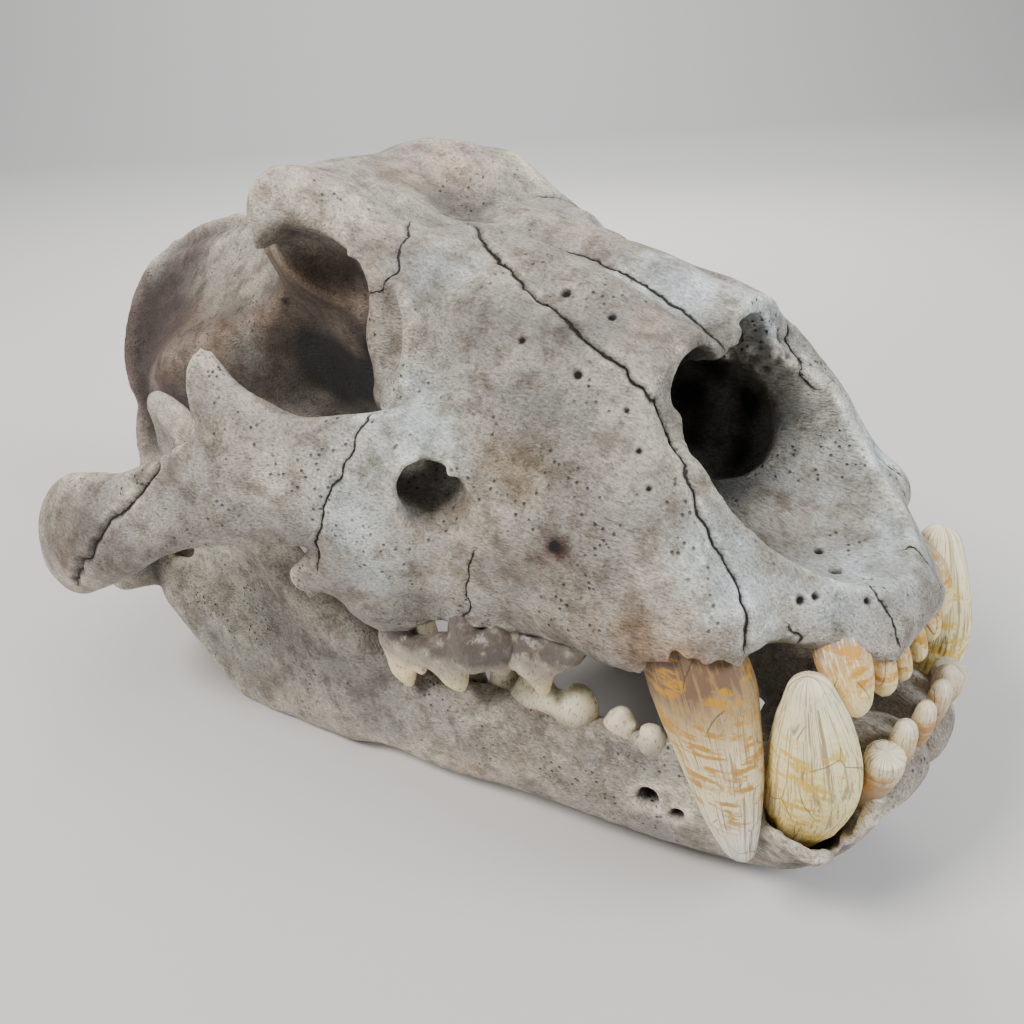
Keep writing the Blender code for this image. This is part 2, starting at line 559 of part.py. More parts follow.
LOWER_CARNASSIAL = [
    ([(198, 53, -34), (203, 52, -14)], (9, 3), BLADEWISE, 0.6),
    ([(214, 50, -34), (214, 49, -13)], (9, 3), BLADEWISE, 0.6),
]
LOWER_PREMOLAR_BACK = [
    ([(229, 46, -44), (229.5, 46, -30), (230, 45.5, -24.5)], (5.4, 4.6, 3), BLADEWISE, 0.85),
    ([(241, 45, -44), (242, 45, -33), (243, 45, -27)], (8, 7.4, 5), BLADEWISE, 0.8),
    ([(256, 43, -44), (258.5, 43.6, -31), (259.5, 44, -27)], (6, 6.4, 5.2), BLADEWISE, 0.9),
    ([(229, 46.5, -34), (243, 46, -32), (258, 44.5, -31)], (4.6, 5.2, 4.6), BLADEWISE, 0.9),
]
LOWER_PREMOLAR_FRONT = [
    ([(262, 41.5, -46), (262.5, 41, -37)], (4.4, 3.4), BLADEWISE, 0.85),
    ([(270, 40, -46), (271, 39.8, -34), (272, 39.6, -29.5)], (6.4, 4.8, 2.8), BLADEWISE, 0.85),
    ([(280.5, 38.5, -45), (281, 38.2, -35), (281.5, 38, -33)], (4.8, 3.8, 3), BLADEWISE, 0.9),
    ([(262, 41.5, -39.5), (271, 40, -36.5), (282, 38.3, -36.5)], (3.4, 4, 3.4), BLADEWISE, 0.9),
]


# ------------------------------------------------------------------ putting it together
def body_from(clay, name, faces, look=None, both_sides=False):
    corners, rings = clay.skin(both_sides)
    made = make_object(name, corners, rings, look)
    thin_out(made, faces)
    return made


def grow_teeth(bone, teeth, faces, sides=(1,), shift=0.0):
    """Join small teeth to the bone they grow from; each row of teeth stands off the middle by the shift."""
    for side in sides:
        for rods in teeth:
            tooth = body_from(tooth_clay(moved(rods, (0, side * shift, 0))), "tooth", faces)
            if side < 0:
                left = tooth
                tooth = mirrored(left, "tooth_right")
                bpy.data.objects.remove(left)
            combine(bone, tooth, "UNION")


for old in list(bpy.data.objects):
    bpy.data.objects.remove(old, do_unlink=True)

bone_look = material("cranium_bone", BONE, 0.75)
jaw_look = material("jaw_bone", JAW_BONE, 0.75)
enamel_look = material("canine_enamel", ENAMEL, 0.4)
pale_look = material("lower_canine_enamel", PALE_ENAMEL, 0.4)

upper_tooth = body_from(tooth_clay(UPPER_CANINE), "upper_canine_left", CANINE_FACES, enamel_look)
upper_tooth_right = mirrored(upper_tooth, "upper_canine_right")
lower_tooth = body_from(tooth_clay(moved(LOWER_CANINE, LEFT_CANINE_SHIFT, LEFT_CANINE_SWELL)),
                        "lower_canine_left",
                        CANINE_FACES, pale_look)
lower_twin = body_from(tooth_clay(LOWER_CANINE), "lower_canine_twin", CANINE_FACES, pale_look)
lower_tooth_right = mirrored(lower_twin, "lower_canine_right")
bpy.data.objects.remove(lower_twin)
cranium = body_from(cranium_clay(), "cranium", CRANIUM_FACES, bone_look, both_sides=True)
for corner in cranium.data.vertices:
    corner.co.z += buried_twist(*corner.co)
jaw = body_from(jaw_clay(), "mandible_left", JAW_FACES // 2, jaw_look)
slice_off(jaw, (0, CLEARANCE / 2, 0), (0, -1, 0))
jaw_right = mirrored(jaw, "mandible_right")

grow_teeth(cranium, UPPER_INCISORS, INCISOR_FACES, (1, -1), UPPER_ROW_SHIFT)
grow_teeth(cranium, (UPPER_CARNASSIAL, UPPER_PREMOLAR), CHEEK_TOOTH_FACES, (1, -1))
for side, bone in ((1, jaw), (-1, jaw_right)):
    grow_teeth(bone, LOWER_INCISORS, INCISOR_FACES, (side,), LOWER_ROW_SHIFT)
    grow_teeth(bone, (LOWER_CARNASSIAL, LOWER_PREMOLAR_BACK, LOWER_PREMOLAR_FRONT), CHEEK_TOOTH_FACES,
               (side,))

# Sockets, and the hollow of the cranium that the jaw hinges in.
for bone, teeth in ((jaw, (lower_tooth, upper_tooth)), (jaw_right, (lower_tooth_right, upper_tooth_right)),
                    (cranium, (upper_tooth, upper_tooth_right, lower_tooth, lower_tooth_right, jaw,
                               jaw_right))):
    for piece in teeth:
        combine(bone, swollen(piece, CLEARANCE), "DIFFERENCE")

# Tip the skull back onto its jaw, centre it and wear the flats that it lies on.
tipped_back = Matrix.Rotation(np.radians(-TIP_BACK), 4, "Y")
pose = Matrix.Scale(0.001, 4) @ Matrix.Translation((-MIDDLE, 0, LIFT)) @ tipped_back
for body in bpy.data.objects:
    body.data.transform(pose)
for body in (jaw, jaw_right):
    slice_off(body, (0, 0, 0), (0, 0, -1))
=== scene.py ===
from collections import namedtuple

import bmesh
import bpy
import numpy as np
from mathutils import Matrix, Vector


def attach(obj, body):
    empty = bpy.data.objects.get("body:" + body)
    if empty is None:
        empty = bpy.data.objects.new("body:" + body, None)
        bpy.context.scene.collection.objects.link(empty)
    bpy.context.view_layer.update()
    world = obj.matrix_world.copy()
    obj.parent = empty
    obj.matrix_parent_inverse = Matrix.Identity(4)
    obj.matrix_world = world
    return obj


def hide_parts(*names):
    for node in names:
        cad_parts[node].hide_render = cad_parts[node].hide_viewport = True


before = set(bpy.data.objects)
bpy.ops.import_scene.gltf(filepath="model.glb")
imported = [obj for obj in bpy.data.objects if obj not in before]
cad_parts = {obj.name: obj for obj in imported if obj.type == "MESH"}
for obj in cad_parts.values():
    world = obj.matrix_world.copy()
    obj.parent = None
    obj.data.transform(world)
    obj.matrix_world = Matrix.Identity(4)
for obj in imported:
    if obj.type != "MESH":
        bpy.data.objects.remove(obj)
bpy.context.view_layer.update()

# ------------------------------------------------------------------ cranium
# One bone from the joint with the neck to the incisor sockets, with both cheek arches.  It is modelled as
# a block of clay for the left half, in millimetres on the skull's own axes: X forward from the neck joint,
# Y to the left, Z up from the palate.  Both halves are skinned together, then worn, cracked and pitted.
SIDES = ((1, "left"), (-1, "right"))       # what the left half's Y is multiplied by for each side
BONE_GRAIN = 1.7    # size of the cells that the bone is skinned over
EMPTY = 60.0                               # distance that stands for air, far from any shape
TIP_BACK = 6.2                             # tip of the skull as it lies on its jaw, in degrees
LIFT = 51.0                                # height of the skull's origin over the floor
MIDDLE = 159.2                             # from the skull's origin forward to the middle of its length
TIPPED_BACK = Matrix.Rotation(np.radians(-TIP_BACK), 4, "Y")
POSE = Matrix.Scale(0.001, 4) @ Matrix.Translation((-MIDDLE, 0, LIFT)) @ TIPPED_BACK
FACE_TWIST = 0.0018        # rise of the left side of the face, for each millimetre forward and outward
FOREHEAD_TILT = 0.09       # rise of the left side of the forehead, for each millimetre outward
FOREHEAD_BEND = 0.00008    # and its fall again further out, for each cubic millimetre
FACE_BACK = 240            # the twist of the face grows forward from here,
FACE_PEAK = 288            # is greatest here, and fades in front of it
FOREHEAD_HALF = 48         # the forehead is twisted this far out to each side,
FOREHEAD_MIDDLE = 166      # most of all here,
FOREHEAD_FOOT = 104        # and only above this

Section = namedtuple("Section", "x top roof drop waist waist_z base bottom")
BRAINCASE = [
    Section(-9, 95, 9, 5, 22, 76, 8, 62),
    Section(-3, 97, 14, 8, 36, 62, 18, 42),
    Section(6, 99, 17, 12, 43, 56, 34, 20),
    Section(18, 101, 18, 14, 46, 50, 46, 13),
    Section(34, 104, 18, 14, 51, 50, 46, 12),
    Section(60, 107, 20, 14, 54, 60, 38, 12),
    Section(90, 110, 18, 12, 48, 66, 28, 14),
    Section(115, 115, 18, 12, 37, 74, 20, 18),
    Section(136, 124.5, 29, 9, 33, 84, 18, 24),
    Section(150, 127, 38, 9, 36, 92, 20, 28),
    Section(160, 127, 44, 7, 38, 94, 22, 28),
    Section(171, 122, 44, 4, 38, 92, 22, 26),
    Section(184, 113, 42, 4, 38, 88, 24, 22),
    Section(198, 107, 39, 5, 42, 76, 34, 14),
    Section(214, 103, 36, 8, 50, 64, 44, 8),
]
MUZZLE = [
    Section(196, 106, 40, 8, 54, 64, 52, -2),
    Section(212, 103, 39, 8, 63, 54, 67, -5),
    Section(226, 99, 37, 8.5, 67, 44, 66, -3),
    Section(245, 92, 38.5, 7.5, 64, 38, 61, -2),
    Section(265, 83, 37, 7, 59, 34, 55, 0),
    Section(284, 72, 36, 6, 54, 30, 50, 2),
    Section(292, 63, 37, 7, 52, 28, 48, 2),
    Section(300, 54, 37, 7, 51, 24, 47, 3),
    Section(314, 40, 31, 9, 44, 18, 35, 2),
    Section(326, 28, 26, 9, 32, 12, 27, 1.5),
    Section(334, 18, 20, 7, 24, 8, 21, 1),
    Section(339, 11, 15, 5, 18, 5, 16, -0.5),
]


def smooth_path(points, pieces):
    """Catmull-Rom curve through the points, with the given number of pieces in each span."""
    points = np.asarray(points, float)
    if len(points) < 3:
        share = np.linspace(0, 1, pieces + 1)[:, None]
        return points[0] * (1 - share) + points[-1] * share
    ends = np.vstack([2 * points[0] - points[1], points, 2 * points[-1] - points[-2]])
    t = np.linspace(0, 1, pieces, endpoint=False)[:, None]
    spans = []
    for a, b, c, d in zip(ends, ends[1:], ends[2:], ends[3:]):
        spans.append(b + 0.5 * t * (c - a + t * (2 * a - 5 * b + 4 * c - d + t * (3 * b - a - 3 * c + d))))
    return np.vstack(spans + [points[-1:]])


def ball(centre, radii, lean=0.0):
    """Ellipsoid; lean tips its nose down, in degrees."""
    centre = np.array(centre, float)
    radii = np.array(radii, float)
    cosine = np.cos(np.radians(lean))
    sine = np.sin(np.radians(lean))
    reach = np.array([np.hypot(radii[0] * cosine, radii[2] * sine), radii[1],
                      np.hypot(radii[0] * sine, radii[2] * cosine)])

    def distance(x, y, z):
        x, y, z = x - centre[0], y - centre[1], z - centre[2]
        u = (x * cosine - z * sine, y, x * sine + z * cosine)
        near = np.sqrt(sum((a / r) ** 2 for a, r in zip(u, radii)))
        slope = np.sqrt(sum((a / r ** 2) ** 2 for a, r in zip(u, radii)))
        return near * (near - 1) / np.maximum(slope, 1e-6)
    return centre - reach, centre + reach, distance


ROD_PIECES = 4                             # straight pieces between two points of a rod
LOFT_STEPS = 16                            # slices between two sections of a loft
ROUND_STEPS = 5                            # straight pieces between two points of an outline


def rod(points, radii, flat=(0, 1, 0), squash=1.0):
    """Bent rod whose radius follows the points; its section is squashed along the flat direction."""
    points = np.asarray(points, float)
    radii = np.ones(len(points)) * radii
    path = smooth_path(np.column_stack([points, radii]), ROD_PIECES if len(points) > 2 else 1)
    normal = np.array(flat, float) / np.linalg.norm(flat)
    stretch = np.eye(3) + (1 / squash - 1) * np.outer(normal, normal)
    line = path[:, :3] @ stretch.T
    reach = np.maximum(path[:, 3], 0.05)

    def distance(x, y, z):
        place = [x * row[0] + y * row[1] + z * row[2] for row in stretch]
        nearest = EMPTY * 9
        for start, end, r0, r1 in zip(line, line[1:], reach, reach[1:]):
            along = end - start
            offset = [p - s for p, s in zip(place, start)]
            share = sum(o * a for o, a in zip(offset, along)) / max(along @ along, 1e-9)
            share = np.clip(share, 0, 1)
            gap = np.sqrt(sum((o - share * a) ** 2 for o, a in zip(offset, along)))
            nearest = np.minimum(nearest, gap - r0 - (r1 - r0) * share)
        return np.where(nearest > 0, nearest * (1 + squash) / 2, nearest * squash)
    low = (path[:, :3] - reach[:, None]).min(0)
    high = (path[:, :3] + reach[:, None]).max(0)
    return low, high, distance


def half_outline(section):
    """Half outline of a skull section, from the middle of the roof to the middle of the underside."""
    x, top, roof, drop, waist, waist_z, base, bottom = section
    eaves = top - drop
    return np.array([(0, top), (roof * 0.6, top - drop * 0.25), (roof, eaves),
                     ((roof + waist) / 2, (eaves + waist_z) / 2), (waist, waist_z),
                     (base, bottom + (waist_z - bottom) * 0.28), (base * 0.85, bottom), (0, bottom)])


def loft(sections):
    """Body skinned over half sections that follow one another along X, alike on both sides."""
    rows = np.array(sections, float)
    dense = smooth_path(rows, LOFT_STEPS)
    outlines = [half_outline(row) for row in dense]
    low = np.array([rows[0, 0], 0, min(o[:, 1].min() for o in outlines)])
    high = np.array([rows[-1, 0], max(o[:, 0].max() for o in outlines), max(o[:, 1].max() for o in outlines)])

    def slice_distance(outline, y, z):
        half = smooth_path(outline, ROUND_STEPS)
        ring = np.vstack([half, (half * (-1, 1))[::-1][1:-1]])
        nearest = np.full((len(y), z.shape[1]), 1e9)
        inside = np.zeros(nearest.shape, bool)
        for (ay, az), (by, bz) in zip(ring, np.roll(ring, -1, 0)):
            dy, dz = by - ay, bz - az
            share = np.clip(((y - ay) * dy + (z - az) * dz) / max(dy * dy + dz * dz, 1e-9), 0, 1)
            nearest = np.minimum(nearest, (y - ay - share * dy) ** 2 + (z - az - share * dz) ** 2)
            if az != bz:
                inside ^= ((az > z) != (bz > z)) & (y < dy * (z - az) / dz + ay)
        return np.sqrt(nearest) * np.where(inside, -1, 1)

    def distance(x, y, z):
        result = []
        for place in x.ravel():
            held = np.clip(place, rows[0, 0], rows[-1, 0])
            sizes = [np.interp(held, dense[:, 0], column) for column in dense.T]
            gap = slice_distance(half_outline(sizes), np.abs(y.reshape(-1, 1)), z.reshape(1, -1))
            past_end = abs(place - held)
            if past_end:
                gap = np.where(gap > 0, np.hypot(gap, past_end), np.maximum(gap, past_end))
            result.append(gap)
        return np.array(result)
    return low, high, distance


def corner_blocks(grid, spans):
    """Views of a grid shifted over the corners of each cell: spans holds the axes the block reaches along."""
    shifts = [(0, 1) if axis in spans else (0,) for axis in range(3)]
    for i in shifts[0]:
        for j in shifts[1]:
            for k in shifts[2]:
                yield grid[tuple(slice(s, n - 1 + s) if axis in spans else slice(None)
                                 for axis, s, n in zip(range(3), (i, j, k), grid.shape))]


def pieces_in_cells(inside):
    """Corners less edges plus sides less middle, all inside: 1 wherever a cell's inside hangs together."""
    total = 0
    for spans, sign in (((), 1), ((0,), -1), ((1,), -1), ((2,), -1), ((0, 1), 1), ((0, 2), 1), ((1, 2), 1),
                        ((0, 1, 2), -1)):
        full = np.all(np.stack(list(corner_blocks(inside, spans))), axis=0).astype(int)
        rest = [axis for axis in range(3) if axis not in spans]
        total = total + sign * sum(corner_blocks(full, rest))
    return total


def fill_pinches(field, grain):
    """Fill each cell where two sheets of the surface meet, so that the body nowhere touches itself."""
    while True:
        inside = field < 0
        solid = pieces_in_cells(inside)
        empty = pieces_in_cells(~inside)
        pinched = (solid > 0) & (empty > 0) & ((solid != 1) | (empty != 1))
        pinched |= (solid < 1) & (empty > 1)
        pinched |= (empty < 1) & (solid > 1)
        if not pinched.any():
            return
        for corners in corner_blocks(field, (0, 1, 2)):
            corners[pinched] = np.minimum(corners[pinched], -0.1 * grain)


class Clay:
    """Block of clay for the left half (y >= 0) of a body, or for a piece on the left side only.

    Each cell corner holds the distance to the surface.  Shapes are added or cut away with a soft blend."""

    def __init__(self, low, high, grain):
        self.axes = [np.arange(a, b + grain, grain) for a, b in zip(low, high)]
        self.grain = grain
        self.field = np.full([len(axis) for axis in self.axes], EMPTY)

    def near(self, shape, margin):
        low, high, distance = shape
        window = tuple(slice(*np.searchsorted(axis, (a - margin, b + margin)))
                       for axis, a, b in zip(self.axes, low, high))
        x, y, z = [axis[part] for axis, part in zip(self.axes, window)]
        return window, distance(x[:, None, None], y[None, :, None], z[None, None, :])

    def add(self, shape, soft):
        window, gap = self.near(shape, soft + 8)
        here = self.field[window]
        blend = np.maximum(soft - np.abs(here - gap), 0)
        self.field[window] = np.minimum(here, gap) - blend ** 2 / (4 * soft)

    def cut(self, shape, soft):
        window, gap = self.near(shape, soft + 2)
        here = self.field[window]
        blend = np.maximum(soft - np.abs(here + gap), 0)
        self.field[window] = np.maximum(here, -gap) + blend ** 2 / (4 * soft)

    def skin(self, both_sides=False):
        """Corners and faces of the surface: one corner in every cell that the surface passes through."""
        field = self.field
        start = np.array([axis[0] for axis in self.axes])
        if both_sides:
            field = np.concatenate([field[:, :0:-1], field], axis=1)
            start[1] = -self.axes[1][-1]
        field = field.copy()
        fill_pinches(field, self.grain)
        number = np.full(field.shape, -1)
        total = np.zeros((*field.shape, 3))
        count = np.zeros(field.shape)
        rings = []
        for axis in range(3):
            step = np.eye(3, dtype=int)[axis]
            side = np.eye(3, dtype=int)[(axis + 1) % 3]
            rise = np.eye(3, dtype=int)[(axis + 2) % 3]
            before = field[tuple(slice(0, n - s) for n, s in zip(field.shape, step))]
            after = field[tuple(slice(s, n) for n, s in zip(field.shape, step))]
            edge = np.argwhere((before < 0) != (after < 0))
            a = before[tuple(edge.T)]
            b = after[tuple(edge.T)]
            crossing = edge + step * (a / (a - b))[:, None]
            cells = [edge, edge - side, edge - side - rise, edge - rise]
            for cell in cells:
                np.add.at(total, tuple(cell.T), crossing)
                np.add.at(count, tuple(cell.T), 1)
            ring = np.stack(cells, 1)
            ring[a >= 0] = ring[a >= 0][:, ::-1]
            rings.append(ring)
        used = np.argwhere(count > 0)
        number[tuple(used.T)] = np.arange(len(used))
        corners = total[tuple(used.T)] / count[tuple(used.T)][:, None] * self.grain + start
        rings = np.concatenate(rings)
        faces = number[rings[..., 0], rings[..., 1], rings[..., 2]]
        return corners, faces


NASAL_CAVITY = rod([(352, 0, 30), (334, 0, 29), (318, 0, 34), (302, 0, 43), (286, 0, 45), (262, 0, 46),
                    (236, 0, 51)], (14, 18, 26.5, 32, 30, 25, 17), flat=(0, 0, 1), squash=0.74)


def cranium_clay():
    clay = Clay((-32, 0, -22), (346, 137, 137), BONE_GRAIN)
    clay.add(loft(BRAINCASE), 1)
    clay.add(loft(MUZZLE), 6)
    # end of the upper jaw behind the last cheek tooth
    clay.add(ball((201, 62, 7), (14, 12, 15)), 8)
    # brows, with the hollow of the stop between them
    clay.add(ball((156, 21, 106), (37, 24, 20.5)), 10)
    clay.add(ball((166, 32, 105.5), (20, 15, 15)), 8)
    clay.add(rod([(178, 34, 108), (192, 31, 100), (212, 28, 93.8)], (8, 8, 8)), 8)
    clay.cut(ball((199, 0, 117), (15, 9, 12), 25), 10)
    # nasal bones, arched side by side and ending in a point beside the opening
    clay.add(rod([(205, 11, 92), (226, 12, 87.5), (250, 13, 80.5), (270, 14, 71), (285, 14.5, 65)],
                 (12, 12.5, 12.5, 12.5, 12.5)), 4)
    clay.add(rod([(256, 25, 77), (268, 26.5, 73), (279, 26, 69.5)], (8, 8, 7)), 4)
    # valley between the nasal bones
    clay.cut(rod([(216, 0, 104), (228, 0, 101), (245, 0, 95.5), (265, 0, 87), (283, 0, 77.5)],
                 (3, 4.3, 4.5, 4.5, 4.5)), 4)
    # swelling over the root of the canine
    clay.add(rod([(300, 43, 18), (294, 43, 28), (285, 41, 41), (268, 36, 56)], (10.5, 11, 11, 9)), 11)
    clay.add(rod([(264, 49, 11), (281, 48.8, 11.5), (297, 47.2, 12.5), (308, 44, 15)],
                 (10, 12, 12.2, 10.5)), 6)
    clay.cut(rod([(321, 64, -8), (319, 46, -3), (321, 33, -6), (318, 25, -12)], (13, 14.5, 12.5, 8)), 3)
    # front rim of the orbit
    clay.add(ball((208, 48, 78), (16, 9, 18), -30), 8)
    # orbit and temporal fossa
    clay.cut(ball((184, 74, 85), (41, 37, 29)), 5)
    clay.cut(ball((148, 86, 72), (46, 42, 36)), 6)
    clay.cut(ball((180, 60, 93), (26, 21, 19)), 4)
    clay.cut(ball((178, 80, 44), (16, 26, 24)), 6)
    # frontal process over the eye
    clay.add(rod([(199, 38, 98.5), (190, 39, 105.5), (181, 41.5, 112), (172, 45.5, 117), (165, 50, 115.3),
                  (160, 53.5, 108.5)], (6, 7.5, 9, 9.5, 8.4, 4.8), flat=(0.3, 0.5, 0.8), squash=0.68), 6)
    clay.add(rod([(190, 37, 102), (197, 37.5, 96), (201, 40, 87), (201.5, 43, 78), (204, 47, 70)],
                 (6, 8.4, 8.8, 8.4, 6)), 6)
    clay.cut(ball((176, 56, 92), (24, 22, 17)), 2.5)
    # cheek bone from the upper jaw outward and back
    clay.add(rod([(232, 57, 50), (221, 67, 47), (206, 77, 46), (190, 88, 47), (172, 99, 44), (152, 108, 37.5),
                  (136, 113, 32)], (16, 18.5, 19, 19, 16, 13, 10), flat=(0.42, 1, 0.12), squash=0.4), 7)
    clay.add(rod([(184, 87, 60), (174, 88, 67), (168, 87, 75), (166, 85, 80)], (12, 10, 7, 3.5),
                 flat=(0.45, 1, 0.1), squash=0.5), 6)
    clay.add(rod([(212, 73, 28), (201, 80, 20), (191, 84.5, 15)], (11, 8, 5),
                 flat=(0.5, 1, 0), squash=0.6), 4)
    clay.add(rod([(216, 70, 32), (207, 70, 14), (205, 66, 1)], (17, 15, 9), flat=(0.35, 1, 0.15),
                 squash=0.6), 8)
    # back half of the cheek arch, down to the jaw joint
    clay.add(rod([(158, 107, 41), (142, 112, 34), (122, 116, 28), (104, 117, 22.5), (90, 114, 15),
                  (78, 104, 7), (70, 90, 4), (64, 74, 6), (58, 56, 12)],
                 (10, 15, 19, 20.5, 19, 14, 11, 12, 13), flat=(0.1, 0.93, 0.3), squash=0.5), 5)
    clay.add(rod([(54, 60, -6), (53, 78, -8), (55, 95, -4)], (6, 7, 5)), 6)
    clay.add(rod([(74, 60, 5), (72, 80, 7), (76, 98, 11)], (9, 8, 8), flat=(0, 0, 1), squash=0.6), 6)
    # sagittal crest
    clay.add(rod([(132, 0, 116), (100, 0, 109), (60, 0, 106), (20, 0, 102), (-6, 0, 95), (-15, 0, 90)],
                 (5, 5, 5.5, 6, 6.5, 5), squash=0.6), 7)
    # nuchal crest, fanning out and down to the mastoid process
    clay.add(rod([(-12, 0, 92), (-8, 14, 88), (-2, 28, 76), (4, 38, 62), (9, 44, 48), (14, 45, 36),
                  (22, 52, 24), (32, 57, 14)], (7, 7, 7, 7, 7, 7, 8, 8), flat=(1, 0.25, 0.3), squash=0.65), 7)
    clay.add(rod([(36, 58, 10), (34, 58, 0), (34, 56, -7)], (9, 8, 5)), 5)
    # occipital condyle, ear bulla and the process between them
    clay.add(ball((0, 17, 25), (12, 10, 13)), 4)
    clay.add(ball((54, 27, 6), (21, 13, 15)), 4)
    clay.add(rod([(26, 44, 10), (20, 38, -4)], (8, 4.5)), 4)
    # wall of the palate behind the last tooth
    clay.add(rod([(168, 24, 18), (145, 20, 10), (122, 17, 3)], (10, 8, 5), squash=0.5), 5)
    # nasal cavity, open to the front, and the passage behind the palate
    clay.cut(NASAL_CAVITY, 3)
    clay.cut(rod([(352, 0, 52), (326, 0, 53), (311, 0, 60)], (30, 29, 21)), 3)
    clay.cut(rod([(304, -30, 71), (304, 30, 71)], (19.5, 19.5)), 2)
    clay.cut(rod([(310, 13.6, 60), (288, 13.6, 65), (266, 13, 68)], (11, 11, 9), (0, 0, 1), 0.8), 1)
    clay.cut(ball((263, 20, 40), (25, 16, 19)), 1.5)
    clay.cut(rod([(170, 0, 6), (196, 0, 16)], (12, 9)), 5)
    # canal below the orbit
    clay.cut(rod([(250, 80, 40), (238, 68, 42), (224, 60, 46), (196, 60, 56)], (9.5, 9.7, 9, 9.5),
                 flat=(1, 0.3, 0), squash=0.8), 3)
    # vault of the palate
    clay.cut(rod([(318, 0, -10), (290, 0, -10), (250, 0, -16), (205, 0, -20), (176, 0, -12)],
                 (10, 14, 24, 32, 26)), 6)
    # hole for the spinal cord
    clay.cut(rod([(-24, 0, 33), (26, 0, 36)], (12, 11)), 3)
    # socket of the canine
    clay.cut(rod([(289, 44.5, 26), (303, 46, 1), (309, 46, -20)], (12, 16, 13.6), squash=0.8), 1)
    return clay


def corner_normals(corners, triangles):
    a, b, c = (corners[triangles[:, i]] for i in range(3))
    facing = np.cross(b - a, c - a)
    total = np.column_stack([sum(np.bincount(triangles[:, i], facing[:, k], len(corners)) for i in range(3))
                             for k in range(3)])
    return total / np.maximum(np.linalg.norm(total, axis=1), 1e-12)[:, None]


def in_triangles(corners, faces):
    """Cut each four-sided face along its shorter diagonal."""
    a, b, c, d = faces.T
    first = np.linalg.norm(corners[a] - corners[c], axis=1) < np.linalg.norm(corners[b] - corners[d], axis=1)
    return np.concatenate([np.where(first[:, None], np.stack([a, b, c], 1), np.stack([a, b, d], 1)),
                           np.where(first[:, None], np.stack([a, c, d], 1), np.stack([b, c, d], 1))])


def eased(corners, triangles, rounds, shares=(0.5, -0.52)):
    """Smooth the surface without shrinking it: each round moves corners to their neighbours and back."""
    start, end = np.concatenate([triangles[:, [0, 1]], triangles[:, [1, 2]], triangles[:, [2, 0]]]).T
    count = np.bincount(start, minlength=len(corners))[:, None]
    for _ in range(rounds):
        for share in shares:
            total = [np.bincount(start, corners[end, k], len(corners)) for k in range(3)]
            mean = np.column_stack(total) / count
            corners = corners + share * (mean - corners)
    return corners


def finer(corners, triangles, wanted):
    """Split the edges whose two ends are wanted; the new corners bulge with the surface."""
    normals = corner_normals(corners, triangles)
    ends = np.sort(np.concatenate([triangles[:, [0, 1]], triangles[:, [1, 2]], triangles[:, [2, 0]]]), axis=1)
    edges, which = np.unique(ends, axis=0, return_inverse=True)
    split = wanted[edges].all(1)
    edges_split = edges[split]
    middle = corners[edges_split].mean(1)
    lift = 0
    for end in edges_split.T:
        lift = lift + normals[end] * ((middle - corners[end]) * normals[end]).sum(1)[:, None]
    number = np.full(len(edges), -1)
    number[split] = len(corners) + np.arange(len(middle))
    extra = number[which.reshape(3, -1).T]
    marks = extra >= 0
    made = [triangles[~marks.any(1)]]
    for turn in range(3):
        a, b, c = triangles[:, np.roll((0, 1, 2), -turn)].T
        ab, bc, ca = extra[:, np.roll((0, 1, 2), -turn)].T
        one = (ab >= 0) & (bc < 0) & (ca < 0)
        two = (ab >= 0) & (bc >= 0) & (ca < 0)
        made += [np.stack(part, 1)[one] for part in ((a, ab, c), (ab, b, c))]
        made += [np.stack(part, 1)[two] for part in ((ab, b, bc), (a, ab, bc), (a, bc, c))]
    a, b, c = triangles.T
    ab, bc, ca = extra.T
    made += [np.stack(part, 1)[marks.all(1)]
             for part in ((a, ab, ca), (ab, b, bc), (ca, bc, c), (ab, bc, ca))]
    return np.vstack([corners, middle - 0.35 * lift]), np.concatenate(made)


CHANCES = 4096                              # random values that the lumps are dealt from, a power of two
CELL_KEYS = (73856093, 19349663, 83492791)  # large primes that give each cell a value of its own
SEED_STEP = 17.31                           # how far the lumps of one seed lie from those of the next


def unevenness(places, size, seed, stretch=(1, 1, 1)):
    """Smooth random values from -1 to 1, in lumps of the given size in millimetres."""
    spot = places / (np.array(stretch) * size) + seed * SEED_STEP
    cell = np.floor(spot).astype(np.int64)
    part = spot - cell
    part = part * part * (3 - 2 * part)
    chance = np.random.default_rng(seed).uniform(-1, 1, CHANCES)
    total = 0
    for corner in np.ndindex(2, 2, 2):
        where = (cell + corner) * CELL_KEYS
        key = (where[:, 0] ^ where[:, 1] ^ where[:, 2]) & (CHANCES - 1)
        total = total + chance[key] * np.prod(np.where(corner, part, 1 - part), axis=1)
    return total


def wandering(places, amount, size, seed):
    """The places pushed about at random, so that a line measured from them wanders."""
    return places + amount * np.column_stack([unevenness(places, size, seed + axis) for axis in range(3)])


LINE_PIECES = 3     # pieces that a line is laid on in, between two of its points
LINE_ROOM = 8       # the surface is searched this far round the line
LINE_REACH = 2.5    # a line is felt this far through the bone, so that it doesn't show on the inner side


def side_of_line(places, normals, line):
    """Distance from the places to a line over the surface, less than zero on its right."""
    best = np.full(len(places), EMPTY)
    sign = np.ones(len(places))
    for start, end in zip(line, line[1:]):
        along = end - start
        share = np.clip((places - start) @ along / (along @ along), 0, 1)
        offset = places - start - share[:, None] * along
        rise = (offset * normals).sum(1)
        flat_gap = np.sqrt(np.maximum((offset ** 2).sum(1) - rise ** 2, 0))
        gap = flat_gap + np.maximum(np.abs(rise) - LINE_REACH, 0)
        closer = gap < best
        best[closer] = gap[closer]
        sign[closer] = np.sign((np.cross(normals, along) * offset).sum(1))[closer]
    return best * np.where(sign < 0, -1, 1)


